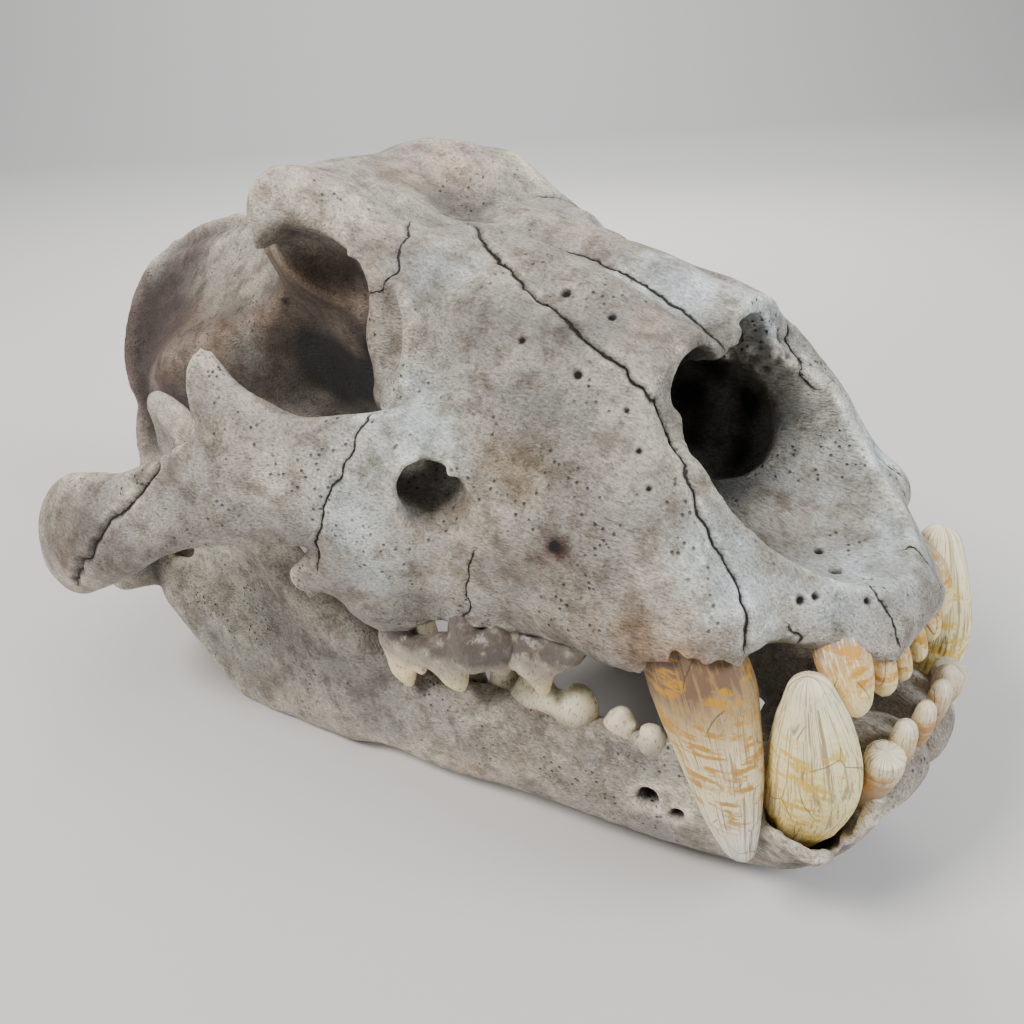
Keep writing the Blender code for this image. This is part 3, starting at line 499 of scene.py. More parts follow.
def laid_on(corners, line):
    """The line made dense, each of its points moved to the nearest corner of the surface."""
    dense = smooth_path(line, LINE_PIECES)
    close = corners[((corners > dense.min(0) - LINE_ROOM) & (corners < dense.max(0) + LINE_ROOM)).all(1)]
    laid = np.array([close[((close - point) ** 2).sum(1).argmin()] for point in dense])
    return laid[np.append(True, (laid[1:] != laid[:-1]).any(1))]


RAGGED = 0.35       # unevenness of a stain's edge, as a share of its radius
BLOT_SEED = 5       # seed of that unevenness


def blot(places, centre, reach):
    """Blot strongest at its centre and ragged at its edge; reach is a radius or three of them."""
    offset = (places - centre) / (np.ones(3) * reach)
    gap = np.linalg.norm(offset, axis=1) + RAGGED * unevenness(places, np.min(reach) * 0.45, BLOT_SEED)
    return np.clip(1.25 - gap, 0, 1) ** 1.5


# Cracks and sutures of the right side and the middle: the line, its depth, and the width of the groove.
CRANIUM_LINES = [
    # nasal bone against the upper jaw, then down beside the opening to the canine
    ([(207.3, -12.4, 104.8), (220.3, -18.8, 100.6), (230.9, -23.3, 95.5), (240.7, -26.5, 90.9),
      (254.9, -29.5, 84.5), (266.6, -32.6, 78.1), (275.6, -32.7, 73), (282.9, -33.2, 67.1),
      (284.9, -30.2, 62.6), (290.9, -32.9, 54.1), (298, -38.3, 47), (302.8, -39.4, 40.2),
      (308.8, -40.1, 30.8), (313.4, -42.3, 25.2), (316.9, -46.4, 19.1), (317.6, -47.3, 14.4)], 1.3, 0.8),
    # between the two nasal bones
    ([(192.3, -10.2, 108.6), (193.5, -1.4, 104.8), (209.2, -8, 104.3), (217, -5.5, 102.6),
      (222.5, -1, 100.1), (238.9, 1.7, 94.7), (255.8, 2.2, 88), (270.4, 1.8, 80.6), (283.6, 0.3, 70.7)],
     0.8, 0.6),
    # forehead bone against the upper jaw
    ([(199.3, -27.7, 108.3), (205.5, -37, 104.8), (206.9, -41, 100.1), (206.5, -43.8, 95.1),
      (196.3, -39.1, 88.1), (189.3, -36.7, 78.2)], 0.7, 0.5),
    # upper jaw against the cheek bone
    ([(216.8, -68.1, 64.5), (218, -71.4, 62.9), (216.4, -78.2, 53.6), (212.3, -82.6, 47.2),
      (208.5, -84.8, 36.7), (204, -85, 29.4), (200.9, -85.4, 19.9)], 0.7, 0.5),
    # long joint in the cheek arch
    ([(163, -106, 52.8), (156.6, -111.2, 46.6), (148.7, -115.8, 40.9), (139.3, -120.7, 33.1),
      (132.4, -124.4, 25.2), (124.9, -125.7, 20.2), (114.6, -127.1, 11.6)], 1.7, 1.4),
    # crack over the last cheek tooth
    ([(246.4, -64, 27.8), (243.1, -63.8, 20.6), (240.1, -63.7, 14.9), (238.7, -62.7, 9.1),
      (235, -62.5, 2.7)], 0.6, 0.4),
    # front end of the upper jaw, beside the incisors
    ([(330, -11.5, 17.5), (333.9, -13.5, 15.5), (336.3, -13, 11.8), (339.2, -13.7, 6.1)], 0.6, 0.4),
    ([(322.1, -35.6, 15.5), (323.2, -32.7, 10.9)], 0.5, 0.4),
]
# The left side has the same lines, fainter; those in the middle aren't repeated.
CRANIUM_LINES += [(np.multiply(line, (1, -1, 1)), deep * 0.7, wide) for line, deep, wide in CRANIUM_LINES
                  if line[-1][1] < -12]
# Small holes for vessels: centre, radius and depth.
CRANIUM_HOLES = [
    ((252, -22.7, 88.6), 1.7, 1.8), ((265.8, -21.9, 83), 1.4, 1.5), ((266.1, -38, 72.3), 1.4, 1.4),
    ((250, -39.6, 80), 1.2, 1.2), ((310.6, 3.5, 15.8), 1.5, 1.6), ((317.9, -3.1, 14.8), 1.8, 2.2),
    ((321.9, -30.4, 20.4), 1.3, 1.4), ((332.5, -16, 16.3), 1.2, 1.4), ((323.9, -27, 20.7), 1.1, 1.2),
    ((270.2, -57.4, 33.1), 2.4, 1.0), ((282, -39, 66), 0.9, 1.0), ((287, -42, 57), 0.9, 1.0),
    ((291, -45, 48), 0.9, 1.0),
]
# Stains of the right side and the middle, with painted shade in the orbit and the nasal cavity: colour,
# centre, reach and strength.
COOL = (0.60, 0.68, 0.71)
CHALK = (0.64, 0.61, 0.52)
PINK = (0.50, 0.38, 0.31)
OCHRE = (0.20, 0.16, 0.11)
DUSK = (0.16, 0.155, 0.15)
TAN = (0.25, 0.16, 0.10)
UMBER = (0.115, 0.08, 0.058)
RUST = (0.07, 0.032, 0.02)
# near-black: dark stain with painted shade in the orbit, and painted shade deep in the nasal cavity and in
# the lower canine's socket
BLACK_STAIN_AND_SHADE = (0.008, 0.0075, 0.007)
SLATE = (0.025, 0.03, 0.033)
MAUVE = (0.06, 0.043, 0.041)
BONE = (0.325, 0.31, 0.275)
CRANIUM_STAINS_AND_SHADE = [
    (COOL, (224, -60, 60), (24, 16, 18), 0.75), (COOL, (218, -80, 37), (15, 12, 26), 0.65),
    (COOL, (219, -37, 95), (14, 14, 12), 0.5), (COOL, (325, 0, 20), (18, 44, 16), 0.8),
    (COOL, (308, -43, 29), (13, 12, 20), 0.9), (COOL, (306, 30, 40), (26, 16, 34), 0.5),
    (COOL, (268, 7, 84), (34, 13, 10), 1.0), (COOL, (286, 24, 76), (16, 14, 12), 0.8),
    (CHALK, (186, -32, 115), (20, 18, 10), 0.6), (CHALK, (198, -92, 52), (16, 12, 12), 0.4),
    (CHALK, (233, -67, 17), (20, 10, 12), 0.6), (CHALK, (300, -56, 20), (14, 10, 10), 0.3),
    (PINK, (180, 10, 121), (26, 26, 12), 0.5), (PINK, (274, -14, 80), (9, 10, 6), 0.6),
    (PINK, (232, 12, 98), (30, 10, 8), 0.35), (PINK, (308, -56, 12), (10, 9, 9), 0.5),
    (DUSK, (255, -33, 83), (26, 10, 9), 0.8), (DUSK, (233, -42, 80), (13, 9, 14), 0.6),
    (OCHRE, (254, -53, 50), (20, 10, 15), 0.8), (OCHRE, (240, -58, 38), (13, 9, 12), 0.7),
    (OCHRE, (262, -58, 26), (26, 10, 9), 0.55), (DUSK, (256, -46, 64), (18, 10, 12), 0.6),
    (OCHRE, (183, -92, 60), (12, 10, 10), 0.35),
    (DUSK, (192, 4, 108), (8, 10, 7), 0.5), (UMBER, (284, -56, 10), (30, 12, 10), 0.7),
    (RUST, (270.2, -57.4, 33.1), (6.5, 5, 5), 1.0), (RUST, (264.5, -57.6, 29), (4, 4, 3), 0.8),
    (DUSK, (126, -123, 32), (30, 12, 22), 0.8), (UMBER, (112, -127, 22), (16, 8, 16), 0.6),
    (UMBER, (158, -104, 50), (14, 10, 9), 0.4), (MAUVE, (16, -40, 64), (66, 50, 62), 1.5),
    # In the orbit, UMBER at (166, -40, 88) and (150, -28, 58) and the near-black blots at (148, -24, 52),
    # (190, -40, 62) and (210, -60, 48) are partly dark stain and partly painted shade.
    (UMBER, (166, -40, 88), (54, 24, 26), 1.0), (UMBER, (120, -44, 76), (56, 26, 44), 1.0),
    (COOL, (104, -38, 66), (10, 8, 14), 0.3), (UMBER, (60, -44, 70), (44, 22, 30), 0.7),
    (UMBER, (150, -28, 58), (70, 30, 40), 0.6), (BLACK_STAIN_AND_SHADE, (148, -24, 52), (46, 28, 30), 1.5),
    (BLACK_STAIN_AND_SHADE, (190, -40, 62), (30, 20, 26), 1.1), (BLACK_STAIN_AND_SHADE, (210, -60, 48), (20, 9, 13), 1.2),
    # The slate blot at (258, 0, 46) and the near-black blots at (262, 18, 40) and (256, -6, 50) are painted
    # shade deep in the nasal cavity.
    (SLATE, (258, 0, 46), (44, 34, 36), 1.3), (BLACK_STAIN_AND_SHADE, (262, 18, 40), (27, 22, 24), 2.0),
    (BLACK_STAIN_AND_SHADE, (256, -6, 50), (30, 30, 26), 1.0), (TAN, (298, -58, 15), (18, 8, 12), 0.8),
    (TAN, (180, -14, 121), (26, 14, 8), 0.55), (TAN, (172, -40, 124), (16, 8, 6), 0.5),
    (PINK, (164, 18, 122), (24, 16, 10), 0.6), (TAN, (146, 0, 122), (22, 22, 10), 0.4),
    (TAN, (304, -58, 7), (14, 8, 9), 0.8), (UMBER, (126, -124, 30), (30, 10, 20), 0.5),
    (DUSK, (176, -96, 48), (20, 12, 12), 0.4), (DUSK, (152, -108, 30), (14, 12, 14), 0.5),
    (DUSK, (240, -36, 86), (16, 10, 8), 0.4),
]
# Stains and painted shade well to the right are repeated on the left.
CRANIUM_STAINS_AND_SHADE += [(colour, (x, -y, z), reach, strength)
                   for colour, (x, y, z), reach, strength in CRANIUM_STAINS_AND_SHADE if y < -24]

WEAR = ((0.22, 9.0, (1, 1, 1)), (0.12, 3.6, (1, 1, 1)), (0.07, 1.5, (3, 1, 1)))    # depth, size, stretch
FAR_FROM_SEAM = 4.0    # where no line is near
FULL_HOLLOW = 0.6      # a place this far below the surface round it counts as wholly hollow


def bone_piece(name, corners, triangles, lines, holes, colour_blots, seed, rims):
    """Wear the surface, cut its lines and holes, and store what its finish needs at every corner."""
    normals = corner_normals(corners, triangles)
    shift = wandering(wandering(corners, 1.1, 5.0, seed), 0.45, 1.7, seed + 3) - corners
    shift = shift - normals * (shift * normals).sum(1)[:, None]
    moved = corners + shift
    depth = sum(deep * unevenness(corners, size, seed + 7 + turn, stretch)
                for turn, (deep, size, stretch) in enumerate(WEAR))
    for centre, reach, amount in rims:
        near = np.clip(1.3 - np.linalg.norm((corners - centre) / reach, axis=1), 0, 1)
        depth = depth + amount * near * unevenness(corners, 2.4, seed + 10)
    seam = np.full(len(corners), FAR_FROM_SEAM)
    near_seam = np.zeros(len(corners))
    for line, deep, wide in lines:
        side = side_of_line(moved, normals, laid_on(corners, line))
        gap = np.abs(side)
        depth -= deep * np.exp(-(gap / wide) ** 2)
        closer = gap < np.abs(seam)
        seam[closer] = side[closer]
        near_seam = np.maximum(near_seam, np.clip(1.2 - gap / 2.5, 0, 1) * min(1, deep + 0.3))
    dark = np.zeros(len(corners))
    for centre, radius, deep in holes:
        centre = corners[((corners - centre) ** 2).sum(1).argmin()]
        gap = np.linalg.norm(corners + 0.3 * shift - centre, axis=1) / radius
        depth -= deep * np.clip(1.35 - gap, 0, 1)
        dark = np.maximum(dark, np.clip(2.2 - gap * 2.4, 0, 1))
    worn = corners + normals * depth[:, None]
    around = eased(worn, triangles, 6, (0.5, 0.5))
    hollow = ((around - worn) * normals).sum(1)
    tint = np.ones((len(corners), 3)) * BONE
    for colour, centre, reach, strength in colour_blots:
        share = np.minimum(strength * blot(corners, centre, reach), 1)[:, None]
        tint = tint * (1 - share) + np.array(colour) * share
    made = piece(name, worn, triangles)
    store(made, "seam", seam)
    store(made, "near_seam", near_seam)
    store(made, "hollow", np.clip(hollow / FULL_HOLLOW, -1, 1))
    store(made, "hole", dark)
    store(made, "tint", tint)
    return made


def piece(name, corners, faces):
    """Mesh object in its place on the floor, shaded smooth."""
    mesh = bpy.data.meshes.new(name)
    mesh.from_pydata(np.asarray(corners).tolist(), [], np.asarray(faces).tolist())
    mesh.transform(POSE)
    mesh.shade_smooth()
    made = bpy.data.objects.new(name, mesh)
    bpy.context.scene.collection.objects.link(made)
    return made


def store(target, name, values):
    if np.ndim(values) == 2:
        colours = np.column_stack([values, np.ones(len(values))])
        target.data.attributes.new(name, "FLOAT_COLOR", "POINT").data.foreach_set("color", colours.ravel())
    else:
        values = np.asarray(values, float)
        target.data.attributes.new(name, "FLOAT", "POINT").data.foreach_set("value", values)


class Wire:
    """One output of a node.  Sums written with it add their Math nodes."""

    def __init__(self, tree, socket=None):
        self.tree = tree
        self.socket = socket

    def node(self, kind, settings=None, inputs=None, output=0):
        """Add a node: its settings first, then the values or wires of its inputs."""
        made = self.tree.nodes.new(kind)
        for name, value in (settings or {}).items():
            if name == "stops":
                while len(made.color_ramp.elements) < len(value):
                    made.color_ramp.elements.new(0.5)
                for stop, (place, colour) in zip(made.color_ramp.elements, value):
                    stop.position = place
                    stop.color = (*colour, 1.0)
            else:
                setattr(made, name, value)
        for name, value in (inputs or {}).items():
            if isinstance(value, Wire):
                self.tree.links.new(value.socket, made.inputs[name])
            else:
                made.inputs[name].default_value = value
        return Wire(self.tree, made.outputs[output])

    def maths(self, operation, first, second=0.0):
        return self.node("ShaderNodeMath", {"operation": operation}, {0: first, 1: second})

    def __add__(self, other):
        return self.maths("ADD", self, other)

    __radd__ = __add__

    def __sub__(self, other):
        return self.maths("SUBTRACT", self, other)

    def __rsub__(self, other):
        return self.maths("SUBTRACT", other, self)

    def __mul__(self, other):
        return self.maths("MULTIPLY", self, other)

    __rmul__ = __mul__

    def held(self, low, high):
        """This value from 0 at low to 1 at high."""
        return self.node("ShaderNodeMapRange", {"clamp": True}, {0: self, 1: low, 2: high})

    def mixed(self, share, other, blend="MIX"):
        """This colour with the other laid over it."""
        return self.node("ShaderNodeMix", {"data_type": "RGBA", "blend_type": blend},
                         {0: share, 6: self, 7: other}, 2)

    def noise(self, places, scale, detail=2.0, roughness=0.5, stretch=(1, 1, 1), output="Fac"):
        spread = self.node("ShaderNodeMapping", {}, {"Vector": places, "Scale": stretch})
        return self.node("ShaderNodeTexNoise", {}, {"Vector": spread, "Scale": scale, "Detail": detail,
                                                   "Roughness": roughness}, output)

    def stored(self, name, output="Fac"):
        return self.node("ShaderNodeAttribute", {"attribute_name": name}, output=output)


def look(name):
    """New material, its empty wire and its shader."""
    made = bpy.data.materials.new(name)
    made.use_nodes = True
    shader = made.node_tree.nodes["Principled BSDF"]
    return made, Wire(made.node_tree), shader


def millimetres(wire):
    spot = wire.node("ShaderNodeTexCoord", output="Object")
    return wire.node("ShaderNodeVectorMath", {"operation": "SCALE"}, {0: spot, "Scale": 1000.0})


HOLLOW_DIRT_AND_SHADE = (0.035, 0.028, 0.023, 1)
PORE_DIRT = (0.03, 0.025, 0.021, 1)
CRACK_DIRT = (0.012, 0.01, 0.009, 1)
HOLE_SHADE = (0.006, 0.005, 0.005, 1)
FIBRE_STRETCH = (0.42, 1.0, 1.0)
DRY = 0.68    # roughness of the bone


def bone_look(name, light, dark):
    """Dry fossil bone: stained in clouds, with short fibres, pores, dirt and painted shade in the hollows,
    and dark cracks.
    """
    made, wire, shader = look(name)
    spot = millimetres(wire)
    clouds = wire.noise(spot, 0.045, 5, 0.62)
    mottle = wire.noise(spot, 0.13, 6, 0.7)
    bent = wire.node("ShaderNodeVectorMath", {"operation": "MULTIPLY_ADD"},
                     {0: wire.noise(spot, 0.03, 1, output="Color"), 1: (10, 10, 10), 2: spot})
    fibres = wire.noise(bent, 1.5, 4, 0.6, FIBRE_STRETCH)
    grain = wire.noise(spot, 1.9, 3, 0.7)
    pores = wire.node("ShaderNodeTexVoronoi", {"feature": "F1"},
                      {"Vector": spot, "Scale": 0.42, "Randomness": 1.0}, "Distance")
    pore = (1 - pores.held(0.1, 0.24)) * wire.noise(spot, 0.06, 2).held(0.5, 0.58)
    hollow = wire.stored("hollow")
    wobble = wire.noise(spot, 0.9, 3, 0.7) - 0.5
    seam = wire.maths("ABSOLUTE", wire.stored("seam") + 0.9 * wobble)
    crack = (1 - seam.held(0.12, 0.4)) * wire.stored("near_seam").held(0.1, 0.6)
    tint = wire.stored("tint", "Color")
    colour = tint.mixed(clouds.held(0.42, 0.58) * 0.75, tint.mixed(1.0, (*light, 1), "MULTIPLY"))
    colour = colour.mixed(mottle.held(0.46, 0.62) * 0.75, tint.mixed(1.0, (*dark, 1), "MULTIPLY"))
    for mask, share, change in (
            (fibres.held(0.52, 0.66), 0.75, (0.48, 0.45, 0.42)),
            (1 - fibres.held(0.36, 0.47), 0.65, (1.5, 1.47, 1.42)),
            (grain.held(0.55, 0.68), 0.6, (1.5, 1.48, 1.44)),
            (1 - grain.held(0.32, 0.44), 0.65, (0.5, 0.47, 0.44)),
            ((0 - hollow).held(0.1, 0.8), 0.7, (1.9, 1.86, 1.78))):
        colour = colour.mixed(mask * share, colour.mixed(1.0, (*change, 1), "MULTIPLY"))
    # dirt and painted shade darken the hollows
    colour = colour.mixed(hollow.held(0.12, 1.0) * 0.8, HOLLOW_DIRT_AND_SHADE)
    colour = colour.mixed(pore * 0.75, PORE_DIRT)
    colour = colour.mixed(crack * 0.94, CRACK_DIRT)
    colour = colour.mixed(wire.stored("hole").held(0.1, 0.8), HOLE_SHADE)
    height = fibres * -0.9 + grain * 0.5 - pore * 0.9 - crack * 1.6 + mottle * 0.3
    bump = wire.node("ShaderNodeBump", {}, {"Strength": 1.0, "Distance": 0.0013, "Height": height}, "Normal")
    wire.tree.links.new(colour.socket, shader.inputs["Base Color"])
    wire.tree.links.new((DRY + 0.3 * (fibres - 0.5)).socket, shader.inputs["Roughness"])
    wire.tree.links.new(bump.socket, shader.inputs["Normal"])
    return made


def buried_twist(corners):
    """The slight twist that the ground gave the forehead and face: the left side stands higher."""
    x, y, z = corners.T
    above_palate = np.clip((z - 15) / 50, 0, 1)
    above_palate = above_palate * above_palate * (3 - 2 * above_palate)
    face = FACE_TWIST * (np.clip(x - FACE_BACK, 0, FACE_PEAK - FACE_BACK)
                         - 2.2 * np.clip(x - FACE_PEAK, 0, 20))
    held = np.clip(y, -FOREHEAD_HALF, FOREHEAD_HALF)
    forehead = FOREHEAD_TILT * held - FOREHEAD_BEND * held ** 3
    forehead = forehead * np.clip(1.6 - np.abs(x - FOREHEAD_MIDDLE) / 35, 0, 1)
    forehead = forehead * np.clip((z - FOREHEAD_FOOT) / 14, 0, 1)
    return corners + np.column_stack([0 * x, 0 * x, face * above_palate * y + forehead])


MUZZLE_BACK = 205      # the muzzle is meshed finely in front of this
MUZZLE_FOOT = -1       # and over this
CAVITY_FRONT = 292     # and so is the nasal cavity, but only in front of this
CAVITY_SKIN = 2.5      # how far outside the cavity's own shape its wall is still taken for cavity
PALATE_FRONT = 290     # the palate is meshed finely only in front of this
PALATE_HALF = 14       # half of its width
PALATE_ROOF = 40       # and its height
ARCH_BACK = 132        # the right cheek arch is meshed finely in front of this
ARCH_SIDE = -76        # and beyond this
RIM_BACK = 262         # the rim of the nasal opening is meshed finely in front of this
RIM_FOOT = 48          # and over this
corners, faces = cranium_clay().skin(both_sides=True)
triangles = in_triangles(corners, faces)
corners = eased(corners, triangles, 3)
x, y, z = corners.T
cavity = (NASAL_CAVITY[2](x, y, z) <= CAVITY_SKIN) & (x <= CAVITY_FRONT)
palate = (np.abs(y) <= PALATE_HALF) & (z <= PALATE_ROOF) & (x <= PALATE_FRONT)
muzzle = (x > MUZZLE_BACK) & (z > MUZZLE_FOOT) & ~cavity & ~palate
arch = (x > ARCH_BACK) & (y < ARCH_SIDE)
rim = (x > RIM_BACK) & (z > RIM_FOOT)
corners, triangles = finer(corners, triangles, muzzle | arch | rim)
corners = buried_twist(corners)
cranium = bone_piece("skull_bone", corners, triangles, CRANIUM_LINES, CRANIUM_HOLES, CRANIUM_STAINS_AND_SHADE, 11,
                     [((302, 45, 2), (24, 20, 9), 0.8), ((302, -45, 2), (24, 20, 9), 0.8),
                      ((236, -60, -2), (40, 16, 10), 0.7), ((236, 60, -2), (40, 16, 10), 0.7),
                      ((284, 27, 63), (14, 10, 10), 1.5), ((268, 8, 64), (14, 16, 8), 2.2)])
cranium.data.materials.append(bone_look("cranium_bone", (1.55, 1.5, 1.42), (0.5, 0.43, 0.36)))
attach(cranium, "root")
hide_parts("cranium")

# ------------------------------------------------------------------ upper canines
# A curved cone of enamel over dentine, held in a deep socket.  Fine grooves run down it, amber stain has
# soaked in from the root, and the tip is worn blunt and pale.
UPPER_CANINE = [((290, 44.5, 24), 11), ((299, 45.4, 10), 13.4), ((303.6, 45.8, -1), 14.2),
                ((305.6, 46, -9), 13.6), ((309, 45.8, -25), 11.2), ((311, 45.2, -41), 8.1),
                ((312.6, 44.8, -51), 5), ((313.4, 44.5, -56.5), 2.4)]


PATH_STEPS = 40    # steps between two given places of a tooth's path
RINGS = 90         # rings along the tooth
TIP_RINGS = 14     # and round its tip
PROFILE_CORNERS = 72    # corners of each ring


def tooth_tree():
    """Sweep a round profile along the tooth, flatten it and groove its sides."""
    tree = bpy.data.node_groups.new("swept_tooth", "GeometryNodeTree")
    for name, kind in (("Geometry", "NodeSocketGeometry"), ("Flat Direction", "NodeSocketVector"),
                       ("Flatness", "NodeSocketFloat"), ("Groove Depth", "NodeSocketFloat"),
                       ("Grooves Around", "NodeSocketFloat"), ("Finish", "NodeSocketMaterial")):
        tree.interface.new_socket(name, in_out="INPUT", socket_type=kind)
    tree.interface.new_socket("Geometry", in_out="OUTPUT", socket_type="NodeSocketGeometry")
    given = tree.nodes.new("NodeGroupInput")
    ask = {socket.name: Wire(tree, socket) for socket in given.outputs}
    wire = Wire(tree)
    keep = tree.nodes.new("GeometryNodeCaptureAttribute")
    keep.capture_items.new("VECTOR", "Axis")
    keep.capture_items.new("FLOAT", "Along")
    for name, source in (("Geometry", ask["Geometry"]), ("Axis", wire.node("GeometryNodeInputPosition")),
                         ("Along", wire.node("GeometryNodeSplineParameter"))):
        tree.links.new(source.socket, keep.inputs[name])
    kept = {name: Wire(tree, keep.outputs[name]) for name in ("Geometry", "Axis", "Along")}
    ring = wire.node("GeometryNodeCurvePrimitiveCircle", {}, {"Resolution": PROFILE_CORNERS, "Radius": 1.0})
    swept = wire.node("GeometryNodeCurveToMesh", {}, {"Curve": kept["Geometry"], "Profile Curve": ring,
                                                      "Scale": wire.node("GeometryNodeInputRadius"),
                                                      "Fill Caps": True})
    away = wire.node("ShaderNodeVectorMath", {"operation": "SUBTRACT"},
                     {0: wire.node("GeometryNodeInputPosition"), 1: kept["Axis"]})
    flat = wire.node("ShaderNodeVectorMath", {"operation": "NORMALIZE"}, {0: ask["Flat Direction"]})
    across = wire.node("ShaderNodeVectorMath", {"operation": "DOT_PRODUCT"}, {0: away, 1: flat}, "Value")
    pressed = wire.node("ShaderNodeVectorMath", {"operation": "SCALE"},
                        {0: flat, "Scale": across * (ask["Flatness"] - 1)})
    outward = wire.node("ShaderNodeVectorMath", {"operation": "NORMALIZE"}, {0: away})
    around = wire.node("ShaderNodeVectorMath", {"operation": "SCALE"},
                       {0: outward, "Scale": ask["Grooves Around"]})
    spot = wire.node("ShaderNodeVectorMath", {"operation": "MULTIPLY_ADD"},
                     {0: kept["Axis"], 1: (0.02, 0.02, 0.02), 2: around})
    grooves = wire.node("ShaderNodeTexNoise", {}, {"Vector": spot, "Scale": 1.0, "Detail": 3.0}) - 0.5
    lumps = wire.node("ShaderNodeTexNoise", {}, {"Vector": kept["Axis"], "Scale": 0.12, "Detail": 2.0}) - 0.5
    swelling = wire.node("ShaderNodeVectorMath", {"operation": "SCALE"},
                         {0: outward, "Scale": (grooves + 0.5 * lumps) * ask["Groove Depth"]})
    shift = wire.node("ShaderNodeVectorMath", {"operation": "ADD"}, {0: pressed, 1: swelling})
    shaped = wire.node("GeometryNodeSetPosition", {}, {"Geometry": swept, "Offset": shift})
    marked = wire.node("GeometryNodeStoreNamedAttribute", {"data_type": "FLOAT", "domain": "POINT"},
                       {"Geometry": shaped, "Name": "along", "Value": kept["Along"]})
    marked = wire.node("GeometryNodeStoreNamedAttribute", {"data_type": "FLOAT_VECTOR", "domain": "POINT"},
                       {"Geometry": marked, "Name": "outward", "Value": outward})
    single = wire.node("GeometryNodeRealizeInstances", {}, {"Geometry": marked})
    finished = wire.node("GeometryNodeSetMaterial", {}, {"Geometry": single, "Material": ask["Finish"]})
    tree.links.new(finished.socket, tree.nodes.new("NodeGroupOutput").inputs[0])
    return tree


def swept_tooth(name, sizes, flat, flatness, grooves, depth, finish, side, blunt):
    """Tooth along a list of (place, radius), root first; the tip is rounded off over the last stretch."""
    rows = np.array([(*place, radius) for place, radius in sizes], float) * (1, side, 1, 1)
    dense = smooth_path(rows, PATH_STEPS)
    length = np.append(0, np.cumsum(np.linalg.norm(np.diff(dense[:, :3], axis=0), axis=1)))
    places = length[-1] - np.concatenate([np.linspace(length[-1], blunt, RINGS),
                                          blunt * np.cos(np.linspace(0.1, 1.56, TIP_RINGS))])
    dense = np.column_stack([np.interp(places, length, column) for column in dense.T])
    left = length[-1] - places
    dense[:, 3] *= np.sqrt(np.clip(1 - (1 - np.minimum(left / blunt, 1)) ** 2, 0.0004, 1))
    curve = bpy.data.curves.new(name, "CURVE")
    curve.dimensions = "3D"
    spline = curve.splines.new("POLY")
    spline.points.add(len(dense) - 1)
    for point, row in zip(spline.points, dense):
        point.co = (*row[:3], 1)
        point.radius = row[3]
    maker = bpy.data.objects.new(name + "_path", curve)
    bpy.context.scene.collection.objects.link(maker)
    nodes = maker.modifiers.new("sweep", "NODES")
    nodes.node_group = bpy.data.node_groups.get("swept_tooth") or tooth_tree()
    values = {"Flat Direction": (flat[0], flat[1] * side, flat[2]), "Flatness": flatness,
              "Groove Depth": depth, "Grooves Around": grooves, "Finish": finish}
    for item in nodes.node_group.interface.items_tree:
        if item.name in values:
            nodes[item.identifier] = values[item.name]
    graph = bpy.context.evaluated_depsgraph_get()
    mesh = bpy.data.meshes.new_from_object(maker.evaluated_get(graph))
    bpy.data.objects.remove(maker)
    mesh.name = name
    mesh.transform(POSE)
    shape = bmesh.new()
    shape.from_mesh(mesh)
    bmesh.ops.remove_doubles(shape, verts=shape.verts[:], dist=1e-6)
    bmesh.ops.recalc_face_normals(shape, faces=shape.faces[:])
    shape.to_mesh(mesh)
    shape.free()
    mesh.shade_smooth()
    made = bpy.data.objects.new(name, mesh)
    bpy.context.scene.collection.objects.link(made)
    return made


GROOVE_DIRT = (0.15, 0.11, 0.075, 1)
ENAMEL_CRACK = (0.06, 0.045, 0.035, 1)
POLISH = 0.32    # roughness of the enamel where it is cleanest


def enamel_look(name, stops, streak, stain):
    """Old enamel: colours from the root to the tip, streaked lengthwise, blotched and finely cracked."""
    made, wire, shader = look(name)
    spot = millimetres(wire)
    along = wire.stored("along")
    outward = wire.stored("outward", "Vector")
    run = wire.node("ShaderNodeCombineXYZ", {}, {0: along * 1.6, 1: along * 0.8, 2: 0.0})
    lines = wire.node("ShaderNodeVectorMath", {"operation": "MULTIPLY_ADD"},
                      {0: outward, 1: (5, 5, 5), 2: run})
    streaks = wire.noise(lines, 2.2, 5, 0.65)
    fine = wire.noise(lines, 7.0, 3, 0.6)
    blotch = wire.noise(spot, 0.13, 4, 0.62)
    bands = wire.noise(spot, 0.2, 3, 0.6, (0.6, 0.6, 2.2))
    place = along + 0.22 * (streaks - 0.5) + 0.1 * (blotch - 0.5)
    colour = wire.node("ShaderNodeValToRGB", {"stops": stops}, {0: place}, "Color")
    colour = colour.mixed(streaks.held(0.52, 0.6) * 0.8, (*streak, 1))
    soaked = bands.held(0.48, 0.56) * blotch.held(0.42, 0.52) * (1 - along.held(0.76, 0.86))
    colour = colour.mixed(soaked * 0.9, (*stain, 1))
    colour = colour.mixed((1 - fine.held(0.34, 0.42)) * 0.7, GROOVE_DIRT)
    cracks = wire.node("ShaderNodeTexVoronoi", {"feature": "DISTANCE_TO_EDGE"},
                       {"Vector": wire.node("ShaderNodeMapping", {},
                                            {"Vector": spot, "Scale": (0.1, 0.1, 0.055)}),
                        "Scale": 1.0, "Randomness": 1.0}, "Distance")
    crack = (1 - cracks.held(0.0, 0.014)) * wire.noise(spot, 0.1, 1).held(0.5, 0.58)
    colour = colour.mixed(crack * 0.7, ENAMEL_CRACK)
    height = 0.35 * streaks + 0.25 * fine - 0.8 * crack
    bump = wire.node("ShaderNodeBump", {}, {"Strength": 0.55, "Distance": 0.0006, "Height": height}, "Normal")
    wire.tree.links.new(colour.socket, shader.inputs["Base Color"])
    wire.tree.links.new((POLISH + 0.3 * (1 - fine)).socket, shader.inputs["Roughness"])
    wire.tree.links.new(bump.socket, shader.inputs["Normal"])
    return made


